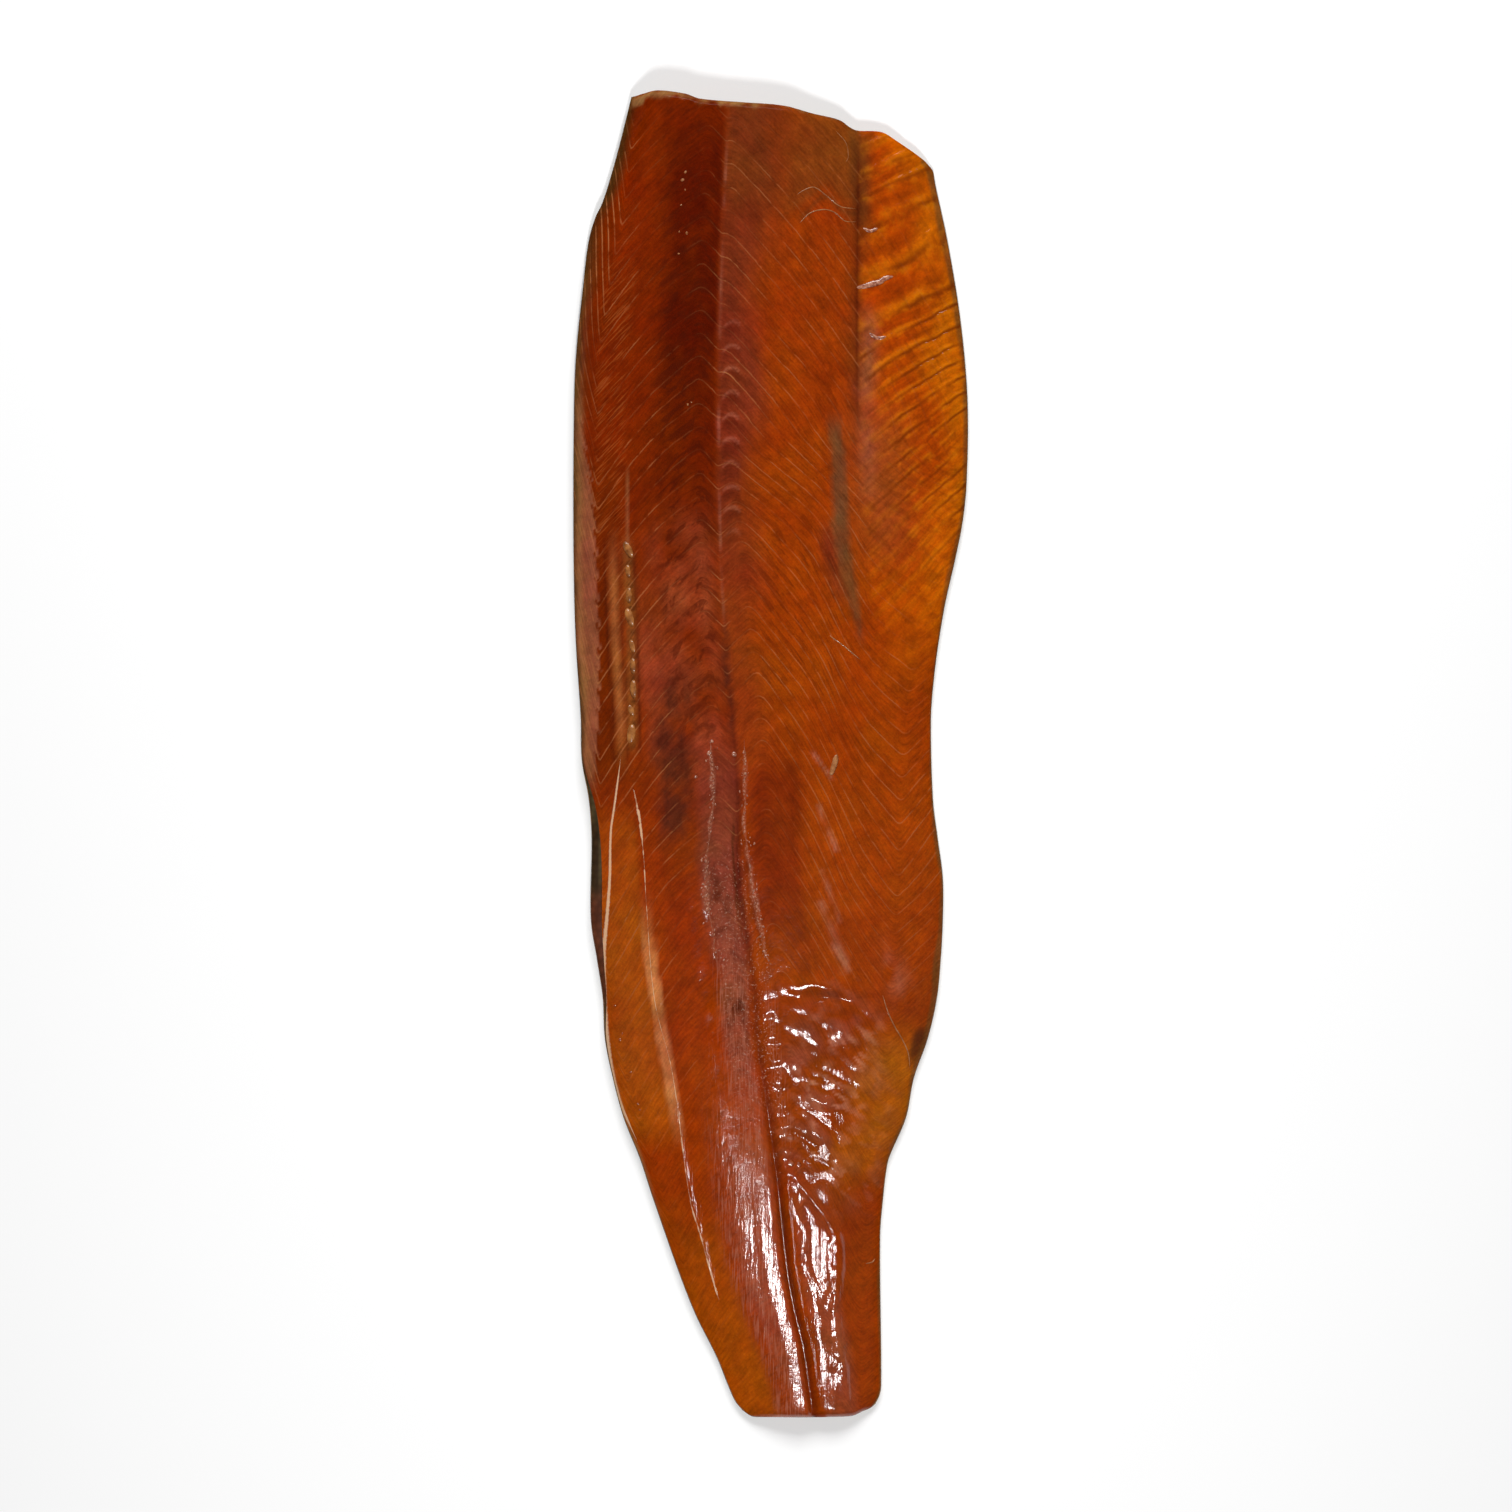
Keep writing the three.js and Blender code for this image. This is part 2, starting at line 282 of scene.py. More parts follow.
# Flake lines run in a W across the side. Each turn has its place across, the change of slope
# there and how round it is; a place is measured from the seam where the third value says so.
firstSlope = 3.6
flakeTurns = [
    ([(0, -60), (54, -65.5), (85, -71.3), (120, -76.7), (160, -77.5), (300, -77), (420, -70),
      (520, -42), (599, -22)], [(0, -4.95), (599, -4.95)], False, 0.5),
    ([(0, -30), (599, -30)], [(0, 0.65), (599, 0.65)], True, 14),
    ([(0, -8), (599, -8)], [(0, 1.7), (599, 1.7)], True, 2.5),
    ([(0, 0), (599, 0)], [(0, -1.15), (150, -1.15), (200, -1.9), (599, -1.9)], True, 0.8),
    ([(0, 3.5), (150, 4), (190, 9), (230, 12), (300, 14), (599, 14)],
     [(0, 1.05), (110, 1.15), (150, 1.3), (200, 2.1), (300, 2.6), (599, 2.6)], True, 3),
    ([(0, 20), (599, 20)], [(0, 0), (120, 0.2), (200, 0.6), (300, 0.8), (599, 0.8)], False, 8),
    ([(0, 38), (599, 38)], [(0, 0), (150, -0.2), (220, -1), (300, -1.2), (400, -0.9)], False, 9),
    ([(0, 50), (599, 50)], [(0, 0), (150, 0), (230, -0.4), (300, -0.3), (400, 0)], False, 6),
    ([(0, 80), (200, 80), (250, 66), (300, 60), (360, 57), (430, 52), (520, 42), (599, 40)],
     [(0, -1), (250, -1.6), (300, -2.1), (400, -2.7)], False, 2),
]


# The slope of the flake lines at a place, and how far they have dropped there.
def flakeCourse(x, down):
    slope, drop = firstSlope + 0 * x, firstSlope * x
    for places, changes, fromSeam, rounding in flakeTurns:
        past = x - along(places, down) - (along(seamLine, down) if fromSeam else 0)
        change = along(changes, down)
        held = np.clip(past, -rounding, rounding) + rounding
        slope += change * held / (2 * rounding)
        drop += change * (held**2 / (4 * rounding) + np.maximum(past - rounding, 0))
    return slope, drop


def flakesAt(place):
    x, down = place.x, place.down
    slope, drop = flakeCourse(x, down)
    dropAtSeam = flakeCourse(along(seamLine, down), down)[1]
    wander = 0.04 * place.lumps + 0.08 * place.broad
    return (down - drop + dropAtSeam) / flakePitch + wander, flakePitch / np.sqrt(1 + slope**2)


# Everything that the relief and the colours need to know about each place on the flesh.
def placesOn(u, t):
    x, down = planAt(u, t)
    place = SimpleNamespace(u=u, t=t, x=x, down=down)
    place.seam = x - along(seamLine, down)
    place.fold = x - along(foldLine, down)
    place.back = x - along(backLine, down)
    place.toBack = x - along(backEdge, down)
    place.toBelly = along(bellyEdge, down) - x
    place.headAway = down - along(headCut, x)
    for name, (size, layer, stretch) in clouds.items():
        setattr(place, name, cloud(x, down, size, layer, stretch))
    rise = along(ribRise, down) * (x - foldLine[0][1])
    place.rib = along(ribPlaces, down + rise) + 0.22 * place.broad + 0.12 * place.lumps
    place.flake, place.flakeWidth = flakesAt(place)
    turn = relief["puckerTurn"]
    a = x * math.cos(turn) + down * math.sin(turn)
    b = down * math.cos(turn) - x * math.sin(turn)
    place.pucker = cloud(a + 3 * place.small, b, *puckerCloud)
    place.strokes = cloud(a + 2 * place.small, b, *strokeCloud)
    (middle, middleDown), (wide, long) = relief["puckerMiddle"], relief["puckerReach"]
    place.inPucker = soft(1.5 - np.hypot((x - middle) / wide, (down - middleDown) / long) * 1.35)
    return place


def reliefAt(place):
    r = relief
    x, down, seam = place.x, place.down, place.seam
    seamWidth = np.where(seam < 0, r["seamLeftWidth"], along(r["seamRightWidth"], down))
    z = -along(r["seamDepth"], down) * hump(seam, seamWidth)
    z -= along(r["foldDepth"], down) * hump(place.fold, r["foldWidth"])

    # Ribs with round backs and narrow valleys.
    valley = np.abs(np.mod(place.rib, 1) - 0.5) * 2
    ribs = along(r["ribHeight"], down) * soft(place.fold / 6)
    ribs *= soft((guideCount - place.u) / 0.2) * (1 + 0.5 * place.lumps)
    z += ribs * (np.sqrt(np.clip(1 - (1 - valley) ** 2, 0, 1)) - 0.6)

    # Each flake stands a little proud of the next, where they are wide enough to show.
    part = np.mod(place.flake + 0.5, 1)
    wide = soft((place.flakeWidth - 4.5) / 2) * soft(-place.fold / 4)
    z += r["flakeStep"] * wide * (soft(part / 0.15) * (1 - part) - 0.45) * soft((440 - down) / 60)

    z -= r["grooveDepth"] * between(down, *r["groove"]) * hump(place.back, r["grooveWidth"])
    z += r["ridgeHeight"] * between(down, *r["ridge"]) * hump(place.back, r["ridgeWidth"])

    # The torn band: a shallow channel between two ragged ridges.
    torn = between(down, *r["torn"])
    leftGap, rightGap = seam - along(tornLeft, down), seam - along(tornRight, down)
    z -= r["tornDepth"] * torn * soft(leftGap / 3) * soft(-rightGap / 3)
    ragged = r["tornRidge"] * torn * (0.7 + 0.9 * place.fine)
    for gap in (leftGap, rightGap):
        z += ragged * hump(gap + 1.2 * place.small, r["tornRidgeWidth"])
    z += 0.3 * torn * place.small * hump(seam, 9)

    # On the tail the flesh swells beside the groove, and again further out.
    lip = seam - along(r["lipPlace"], down)
    lean = r["lipLean"] * soft((down - r["lipLeans"][0]) / r["lipLeans"][1])
    z += (along(r["lipHeight"], down) - lean * lip) * np.exp(-((lip / r["lipWidth"]) ** 4))
    uneven = 0.8 + 0.5 * place.small + 0.35 * place.fine
    for crest in tailCrests.values():
        off = seam - along(crest["course"], down) - 1.3 * place.small
        across = off / crest["width"]
        rise = crest["height"] * uneven + crest["lean"] * off + crest["hollow"] * off**2
        z += rise * between(down, *crest["span"]) * np.exp(-(across**4))

    # Puckers: rounded lumps with narrow valleys, and bars beside the seam at the flake pitch.
    lumps = np.sqrt(place.pucker**2 + 0.02) * 2
    bars = 0.5 + 0.5 * np.cos(2 * math.pi * (down / flakePitch + 0.25 * place.small))
    bars *= between(seam, 2, 13, 4) * between(down, 400, 495, 14)
    z += r["puckerHeight"] * place.inPucker * (lumps - 0.5) + r["barHeight"] * bars
    z += place.inPucker * (0.2 * place.small + 0.3 * place.strokes)

    # A crease across the belly side above the puckers.
    creaseGap = down - r["crease"][0] - r["crease"][1] * x - 1.5 * place.small
    inCrease = between(x, *r["creaseSpan"])
    proud = 0.6 + 0.8 * between(x, 12, 37, 8)
    z += r["creaseHeight"] * inCrease * proud * (hump(creaseGap, 3) - hump(creaseGap - 5, 2.4))

    z += r["swell"] * place.lumps + 0.05 * place.small
    return z


# The flesh's top and the skin's underside, above the surface that the side lies on.
def fleshTop(place):
    f = form
    u, t, down = place.u, place.t, place.down
    rim = rimAt(u, down)
    headRound = mix(f["headRoundAtBack"], f["headRoundAtBelly"], u / guideCount)
    rounding = quarterRound(place.toBack, f["backRound"])
    rounding *= quarterRound(place.toBelly, f["bellyRound"])
    rounding *= quarterRound(t * sideLength, headRound)
    rounding *= quarterRound((1 - t) * sideLength, f["tailRound"])
    return rim + (thicknessAt(u, down) - rim) * rounding + reliefAt(place) * rounding**2


def undersideAt(u, t, down):
    f = form
    inward = np.minimum(u / f["skinTurnBack"], (guideCount - u) / f["skinTurnBelly"])
    endward = np.minimum(t, 1 - t) * sideLength / f["skinTurnEnd"]
    return rimAt(u, down) * (1 - quarterRound(np.minimum(inward, endward), 1))


# Turns places in millimetres into points in the frame, in metres.
def toPoints(x, down, z):
    return np.stack([(x - middleX) * mm, (sideLength / 2 - down) * mm, z * mm], axis=1)


# Adds a node; each value goes to the setting or input of its name or number, or is linked to it.
def addNode(tree, kind, settings, *inputs):
    node = tree.nodes.new("ShaderNode" + kind)
    for key, value in {**settings, **dict(enumerate(inputs))}.items():
        if value is None:
            continue
        if isinstance(value, bpy.types.NodeSocket):
            tree.links.new(value, node.inputs[key])
        elif isinstance(key, str) and hasattr(node, key):
            setattr(node, key, value)
        else:
            node.inputs[key].default_value = value
    return node.outputs


def newMaterial(name):
    material = bpy.data.materials.new(name)
    material.use_nodes = True
    tree = material.node_tree
    return material, tree, tree.nodes["Principled BSDF"]


def finishMesh(bm, name, material):
    mesh = bpy.data.meshes.new(name)
    bm.to_mesh(mesh)
    bm.free()
    mesh.materials.append(material)
    mesh.shade_smooth()
    piece = bpy.data.objects.new(name, mesh)
    bpy.context.scene.collection.objects.link(piece)
    return piece


def columnsAcross(counts, eases):
    found = []
    for k, (count, ease) in enumerate(zip(counts, eases)):
        share = np.arange(count) / count
        found.append(k + (share**ease if ease > 0 else 1 - (1 - share) ** -ease))
    return np.append(np.concatenate(found), guideCount)


def rowsAlong(count, nearEnd):
    ends = np.array(nearEnd) / sideLength
    inner = np.linspace(ends[-1], 1 - ends[-1], count - 2 * len(ends) + 3)
    return np.concatenate([ends[:-1], inner, 1 - ends[:-1][::-1]])


# A grid whose vertices carry their place across and along, for the shape and the colours.
def gridOf(across, rows):
    bm = bmesh.new()
    acrossLayer = bm.verts.layers.float.new("across")
    alongLayer = bm.verts.layers.float.new("along")
    columns, lines = len(across) - 1, len(rows) - 1
    bmesh.ops.create_grid(bm, x_segments=columns, y_segments=lines, size=0.5)
    for v in bm.verts:
        v[acrossLayer] = across[round((v.co.x + 0.5) * columns)]
        v[alongLayer] = rows[round((0.5 - v.co.y) * lines)]
    return bm, acrossLayer, alongLayer


def layerValues(verts, layer):
    return np.array([v[layer] for v in verts])


def setPoints(verts, points):
    for v, point in zip(verts, points.tolist()):
        v.co = point


def extrudeEdge(bm, edges):
    made = bmesh.ops.extrude_edge_only(bm, edges=edges)["geom"]
    verts = [g for g in made if isinstance(g, bmesh.types.BMVert)]
    rim = [g for g in made if isinstance(g, bmesh.types.BMEdge) and g.is_boundary]
    return verts, rim


print("flesh")
fleshLook = {
    "columns": (26, 38, 46, 44),
    "ease": (1.5, -1.2, 1.2, -1.4),
    "rows": 590,
    "nearEnd": (0, 0.3, 0.7, 1.2, 1.8, 2.6, 3.5, 4.5, 5.5, 6.5),
    "lip": [(0, 0.5), (300, 0.6), (330, 3.6), (368, 5.4), (400, 2.6), (425, 0.8), (480, 0.5), (599, 0.4)],
    "bellyLip": 0.35,
    "endLip": 0.4,
    "soleUp": 0.8,
    "skinGap": 0.55,
}


# Moves places in from the edges, so that the skin shows as a rim outside the flesh.
def insideLips(u, t):
    end = fleshLook["endLip"] / sideLength
    inT = mix(end, 1 - end, t)
    down = planAt(np.zeros_like(t), inT)[1]
    backGap = along(backLine, down) - along(backEdge, down)
    bellyGap = along(bellyEdge, down) - along(foldLine, down)
    low = along(fleshLook["lip"], down) / backGap
    high = guideCount - fleshLook["bellyLip"] / bellyGap
    return mix(low, high, u / guideCount), inT


def makeFlesh(material):
    across = columnsAcross(fleshLook["columns"], fleshLook["ease"])
    rows = rowsAlong(fleshLook["rows"], fleshLook["nearEnd"])
    bm, acrossLayer, alongLayer = gridOf(across, rows)
    sides, sideEdges = extrudeEdge(bm, [e for e in bm.edges if e.is_boundary])
    sole, soleEdges = extrudeEdge(bm, sideEdges)
    bm.verts.index_update()
    u, t = insideLips(layerValues(bm.verts, acrossLayer), layerValues(bm.verts, alongLayer))
    place = placesOn(u, t)
    top = fleshTop(place)
    setPoints(bm.verts, toPoints(place.x, place.down, top))

    # The sides go down to the skin, and the flat sole is hidden by it.
    low = [v.index for v in sides]
    x, down = place.x[low], place.down[low]
    onSkin = undersideAt(u[low], t[low], down) + fleshLook["skinGap"]
    setPoints(sides, toPoints(x, down, np.minimum(onSkin, top[low] - 0.1)))
    f = form
    end = f["skinTurnEnd"] / sideLength
    share = layerValues(sole, acrossLayer) / guideCount
    soleU = mix(f["skinTurnBack"], guideCount - f["skinTurnBelly"], share)
    x, down = planAt(soleU, mix(end, 1 - end, layerValues(sole, alongLayer)))
    setPoints(sole, toPoints(x, down, 0 * x + fleshLook["soleUp"]))
    bmesh.ops.triangle_fill(bm, use_beauty=False, use_dissolve=False, edges=soleEdges)
    bmesh.ops.recalc_face_normals(bm, faces=bm.faces[:])
    surface = BVHTree.FromBMesh(bm)
    return finishMesh(bm, "flesh", material), place, surface


# Colours of the flesh by region.
hues = {
    "backHead": "#702000",
    "backMiddle": "#7a2802",
    "backTail": "#892f01",
    "bellyHead": "#8c3203",
    "bellyMiddle": "#903602",
    "bellyTail": "#853001",
    "darkMuscle": "#4f0f00",
    "veil": "#6e2814",
    "brownTop": "#76380e",
    "flapInner": "#a43e01",
    "flapAmber": "#bd6004",
    "flapShade": "#7c2c02",
    "flapOuter": "#b65b02",
    "flapDeep": "#8a3c14",
    "foldBrown": "#60300f",
    "amberEdge": "#b45a00",
    "streak": "#643c20",
    "rimOlive": "#5f3d1a",
    "rimTan": "#9a6238",
    "finStrip": "#8a4a30",
    "darkStrip": "#641f00",
    "tanRidge": "#985428",
    "beadGroove": "#7e441a",
    "pinkMuscle": "#8a3c20",
    "tornBand": "#743020",
    "greyPink": "#84402c",
    "seamShade": "#451004",
    "paleSeam": "#9a5a44",
    "ridgeFat": "#c07844",
    "wetPatch": "#7d3004",
    "wetEdge": "#9c4e06",
    "lowEdge": "#986338",
    "tailGlow": "#944003",
    "tailPinkSheen": "#8c4a34",
    "cutFace": "#8a5e34",
    "headVeil": "#6a2a0e",
    "backShade": "#402408",
    "backAmber": "#984606",
    "quietMuscle": "#702103",
    "purpleMuscle": "#54200f",
    "foldPink": "#86472b",
    "seamArc": "#93503a",
    "underArc": "#581a0a",
    "recessShade": "#46200a",
    "wetSheen": "#a4624a",
}

# How strongly a colour or a mark shows, by place down the side.
shares = {
    "darkMuscle": [(0, 0.2), (20, 0.55), (42, 0.95), (120, 0.95), (170, 0.5), (240, 0.25), (290, 0)],
    "veil": [(0, 0.1), (35, 0.25), (75, 0.85), (190, 0.8), (230, 0.5), (290, 0.3), (340, 0)],
    "ribColours": [(0, 0.7), (60, 1), (180, 0.9), (235, 0.4), (270, 0)],
    "flapOuter": [(0, 0.7), (60, 1), (170, 0.9), (230, 0.3)],
    "crease": [(8, 0.9), (56, 0.9), (72, 0.5), (105, 0.5), (150, 0.3), (185, 0)],
    "seam": [(0, 0), (250, 0.05), (310, 0.5), (355, 0.8), (400, 0.5), (460, 0.5), (510, 0.7), (599, 0.6)],
    "lines": [(0, 0.3), (40, 0.9), (330, 1), (400, 0.6), (470, 0.25), (599, 0.05)],
    "ribs": [(0, 0.6), (60, 1), (180, 0.9), (235, 0.4), (270, 0)],
    "blotches": [(0, 0.5), (100, 1), (330, 0.8), (420, 0.4), (599, 0.3)],
    "gloss": [(0, 0.35), (280, 0.4), (380, 0.85), (440, 1), (599, 1)],
}

# Where bands of colour run and how wide they are; hem and cutRim go by place across.
bands = {
    "hem": [(4, 62), (14, 57), (24, 48), (32, 53), (43, 57)],
    "cutRim": [(-63, 7.4), (-45, 6), (-28, 5.4), (-12, 4.4), (20, 2.6), (70, 1.5)],
    "finStrip": [(130, 2), (150, 4), (180, 9), (210, 11), (250, 11), (280, 9), (312, 6)],
    "streakMiddle": [
        (140, 28.2), (152, 28.9), (165, 30.6), (185, 31.2), (200, 31.6), (217, 34.4), (234, 38.2), (250, 41),
    ],
    "streakWidth": [(140, 3.4), (165, 3.6), (205, 4), (225, 3), (240, 1.8), (256, 1)],
    "tailAmber": [(440, -26), (508, -26), (550, -21), (590, -13), (599, -12)],
    "seamShade": [(0, 1.2), (300, 1.2), (400, 1.5), (480, 2.2), (599, 2.6)],
    "bellyRim": [(0, 4.2), (80, 4), (130, 2.6), (360, 2.2), (390, 3.6), (425, 3.2), (460, 2), (599, 1.6)],
}
backRidge = 18.5
beadsFrom = 208

# Pale strokes on the belly side: from and to (x, down), and the half width.
paleStrokes = [
    (18.7, 298, 27.7, 310, 0.7), (21.4, 322, 29.5, 342, 0.9), (23.2, 351, 31, 374, 1.0),
    (22.6, 366, 33.5, 392, 1.5), (28, 384, 35, 396, 1.2),
]


def lay(paint, name, mask):
    return paint + (toLinear(hues[name]) - paint) * np.clip(mask, 0, 1)[:, None]


def onFlap(place, end=0):
    return soft((place.fold + 1) / 4) * soft((275 + end - place.down) / 60)


def headRim(place):
    width = along(bands["cutRim"], place.x)
    rim = soft((width + 2.2 * place.small + 1.4 * place.fine - place.headAway) / 3.6)
    return rim * np.clip(0.8 + 0.9 * place.fine + 0.6 * place.small, 0, 1)


def streakAt(place):
    down = place.down
    gap = np.abs(place.x - along(bands["streakMiddle"], down)) + 1.1 * place.small + 0.7 * place.fine
    return soft((along(bands["streakWidth"], down) + 1.2 - gap) / 3.4) * between(down, 142, 254, 14)


# The dark muscle runs down the back side of the seam, with a paler veil beyond it: a painted soft sheen over
# the flesh's own pinkish tone.
def muscleLayers(place):
    x, down, seam = place.x, place.down, place.seam
    broad, lumps, small, fine = place.broad, place.lumps, place.small, place.fine
    dark = soft((seam + 34 + 5 * lumps) / 14) * soft((1.2 - seam + 1.2 * small + fine) / 3.6)
    dark *= along(shares["darkMuscle"], down)
    yield "darkMuscle", dark * np.clip(0.95 + 0.4 * small + 0.35 * lumps, 0, 1)
    veil = soft((seam + 2.2 + small) / 3.6) * soft((27 + 8 * broad + 5 * lumps - seam) / 18)
    yield "veil", veil * along(shares["veil"], down)
    yield "headVeil", soft((seam + 2) / 5) * soft((36 + 8 * lumps - seam) / 22) * soft((95 - down) / 60)
    pink = between(seam + 4 * lumps, -42, 4, 12) * between(down, 175, 330, 40)
    yield "pinkMuscle", 0.42 * pink * (1 + 1.2 * lumps + 0.6 * small)
    purple = between(x + 3 * small, -54, -30, 8) * between(down, 248, 350, 35)
    yield "purpleMuscle", purple * (0.7 + 0.8 * lumps + 0.9 * small + 0.4 * fine)
    yield "quietMuscle", 0.8 * between(seam, 1, 34, 9) * between(down, 285, 400, 35)

    # Small arches beside the seam, pale on top and dark beneath, one to each flake.
    arch = np.mod((down - 106 - 0.15 * (seam - 6) ** 2 + 1.2 * small) / flakePitch, 1)
    nearSeam = between(seam, 1.2, 10.5, 2) * between(down, 98, 206, 14)
    yield "underArc", 0.6 * nearSeam * soft(arch / 0.12) * soft((0.8 - arch) / 0.5)
    yield "seamArc", 0.6 * nearSeam * hump(np.minimum(arch, 1 - arch) * flakePitch, 0.8)


# A brown veil at the head on the belly side, and the dried rim of the cut.
def headLayers(place):
    x, down = place.x, place.down
    lumps, small = place.lumps, place.small
    hem = along(bands["hem"], x) + 2 * small
    brown = soft((x - 2 + 6 * lumps) / 16) * soft((43 - x + lumps) / 4) * soft((hem - down) / 7)
    yield "brownTop", 0.85 * brown
    yield "foldBrown", 0.6 * hump(down - hem - 1, 2.2) * between(x, 10, 42, 6)
    yield "cutFace", headRim(place) * (0.5 + 0.5 * soft((place.headAway - 1) / 2))
    yield "rimOlive", 0.7 * soft((2.4 + small - place.headAway) / 1.8) * soft((x + 14) / 18)


# The belly flap, yellower to its edge, with a brown crease along the fold.
def flapLayers(place):
    x, down, fold, toBelly = place.x, place.down, place.fold, place.toBelly
    broad, lumps, small = place.broad, place.lumps, place.small
    flap = onFlap(place, -10 * lumps)
    yield "flapInner", flap
    # Each rib is painted amber on one side and darker going into its valley: painted light and shade of the
    # ribs.
    inRib = flap * along(shares["ribColours"], down)
    part = np.mod(place.rib, 1)
    yield "flapAmber", 0.75 * inRib * hump(part - 0.72, 0.2) * np.clip(0.7 + 1.2 * lumps, 0, 1)
    yield "flapShade", 0.4 * inRib * hump(part - 0.38, 0.14) * np.clip(0.7 + 0.9 * small, 0, 1)
    outer = flap * soft((24 - toBelly + 9 * broad + 6 * lumps) / 18)
    yield "flapOuter", 0.7 * outer * along(shares["flapOuter"], down)
    yield "flapDeep", 0.8 * hump(fold - 9, 13) * between(down, 130, 225, 30)
    crease = between(fold + 4 * lumps + 2 * small, -8, 6, 9)
    yield "foldBrown", crease * along(shares["crease"], down)
    yield "foldBrown", 0.65 * hump(fold - 3 - 2 * lumps - small, 4) * between(down, 14, 64, 10)
    yield "foldPink", hump(fold - 4.5 - 2 * small, 4) * between(down, 92, 190, 16) * (0.75 + lumps)
    yield "seamShade", 0.7 * hump(fold, 1.3) * soft((165 - down) / 50) * soft((down - 20) / 20)
    yield "amberEdge", 0.5 * soft((30 + 6 * lumps - toBelly) / 24) * between(down, 190, 280, 45)

    # A brown streak inside the fold.
    besideStreak = hump(x - along(bands["streakMiddle"], down) + 6 + lumps, 4)
    yield "veil", 0.7 * besideStreak * between(down, 190, 236, 14)
    yield "streak", streakAt(place) * (0.85 + 0.25 * small + 0.2 * lumps)


# Strips along the back edge, where the fin was.
def backLayers(place):
    down, back, toBack = place.down, place.back, place.toBack
    lumps, small, fine = place.lumps, place.small, place.fine
    stretch = between(down, 130, 318, 20)
    saw = 2.2 * (np.mod((down - 1.2 * toBack) / flakePitch, 1) - 0.5)
    yield "darkStrip", 0.85 * stretch * soft((22 - toBack) / 2) * soft((down - 165) / 30)
    yield "finStrip", stretch * soft((along(bands["finStrip"], down) + saw - toBack) / 0.6)
    yield "rimTan", 0.8 * stretch * hump(toBack - 2.5, 2.0)
    yield "tanRidge", 0.85 * between(down, 192, 312, 34) * hump((toBack - backRidge) / 2.9, 1) ** 2
    yield "backAmber", 0.75 * soft((0.5 - back) / 4) * between(down, 318, 480, 18)
    yield "rimOlive", 0.85 * soft((3 + 2 * lumps - toBack) / 2.5) * soft((330 - down) / 40)
    yield "rimOlive", 0.6 * soft((7 + 3 * lumps - toBack) / 7) * between(down, 35, 240, 40)
    headEdge = soft((7.5 + 2.5 * lumps - toBack) / 6) * soft((100 - down) / 50)
    yield "backShade", 0.75 * headEdge * (1 - headRim(place))
    for side in (backRidge - 3.6, backRidge + 3.4):
        yield "seamShade", 0.55 * hump(toBack - side + 0.6 * small, 0.8) * between(down, 196, 312, 16)
    yield "beadGroove", between(down, 198, 302, 12) * hump(back, 2.4)
    yield "seamShade", 0.6 * between(down, 206, 306, 10) * hump(back - 3.2 + 0.6 * small, 0.7)
    yield "rimTan", 0.45 * between(down, 168, 214, 10) * hump(back + 0.4 * small, 0.6)
    # Purple along the seam groove: its own colour, with painted shade in the groove.
    inSeam = between(down, 228, 300, 20) * hump(place.seam + small, 2)
    yield "purpleMuscle", inSeam * (0.6 + 0.8 * small + 0.5 * fine)
    # Painted shade in the gaps between the fin roots.
    fromGap = np.abs(np.mod((down - beadsFrom) / flakePitch, 1) - 0.5) - 0.02 - 0.12 * small
    yield "recessShade", 0.7 * soft(1 - fromGap / 0.14) * between(down, 206, 300, 8) * hump(back - 0.6, 1.5)


# The torn band beside the seam, the greyish pink below it, and on the tail the amber and a pink that is
# partly a painted sheen.
def tailLayers(place):
    down, seam = place.down, place.seam
    lumps, small, fine = place.lumps, place.small, place.fine
    dusky = between(seam + 3 * lumps, -38, -13, 10) * between(down, 332, 402, 25)
    yield "quietMuscle", dusky * np.clip(0.45 + 0.5 * lumps + 0.4 * small, 0, 1)
    yield "tornBand", 0.75 * between(down, 285, 400, 26) * between(seam + 1.5 * small, -20, 5, 6)
    yield "greyPink", 0.75 * between(down, 315, 475, 45) * between(seam + 2 * lumps, -17, 0.6, 5)
    bruise = between(seam + 2 * small, -14, -1, 5) * between(down, 335, 445, 25)
    yield "purpleMuscle", bruise * (0.25 + 1.2 * lumps + 1.2 * small + 0.6 * fine)
    amberSide = along(bands["tailAmber"], down)
    # Pink beside the groove on the tail: the flesh's pink with a painted sheen around the wet highlights.
    pink = soft((down - 440) / 60) * between(seam, amberSide, 0.4, 7)
    pink = np.maximum(pink, soft((down - 470) / 50) * between(seam, 4, 24, 7))
    yield "tailPinkSheen", 0.6 * pink * (0.7 + 0.5 * lumps)
    yield "tailGlow", 0.9 * soft((down - 475) / 70) * soft((amberSide + 2 + 2 * lumps - seam) / 6)


# The wet puckered patch, with painted sheen on the lump tops and in strokes, and the wet edge of the belly.
def puckerLayers(place):
    x, down = place.x, place.down
    lumps, small = place.lumps, place.small
    yield "wetPatch", 0.7 * soft(1.4 * place.inPucker)
    # Greyish pink on the tops of the lumps and pale pink strokes: painted sheen of the wet puckers.
    yield "greyPink", 0.6 * soft(1.4 * place.inPucker) * soft(2.2 * np.abs(place.pucker) - 0.2)
    puckered = np.clip(0.5 + 0.7 * lumps + small, 0, 1) * place.inPucker
    yield "wetSheen", 0.8 * puckered * soft((place.strokes - 0.12) / 0.2)
    brushed = hump(x - 57 - 0.25 * (down - 400) + small, 5) * hump(down - 399, 11)
    yield "wetSheen", 0.45 * brushed * np.clip(0.6 + small + lumps, 0, 1)
    yield "wetEdge", 0.8 * soft((32 + 5 * lumps - place.toBelly) / 18) * between(down, 412, 500, 24)
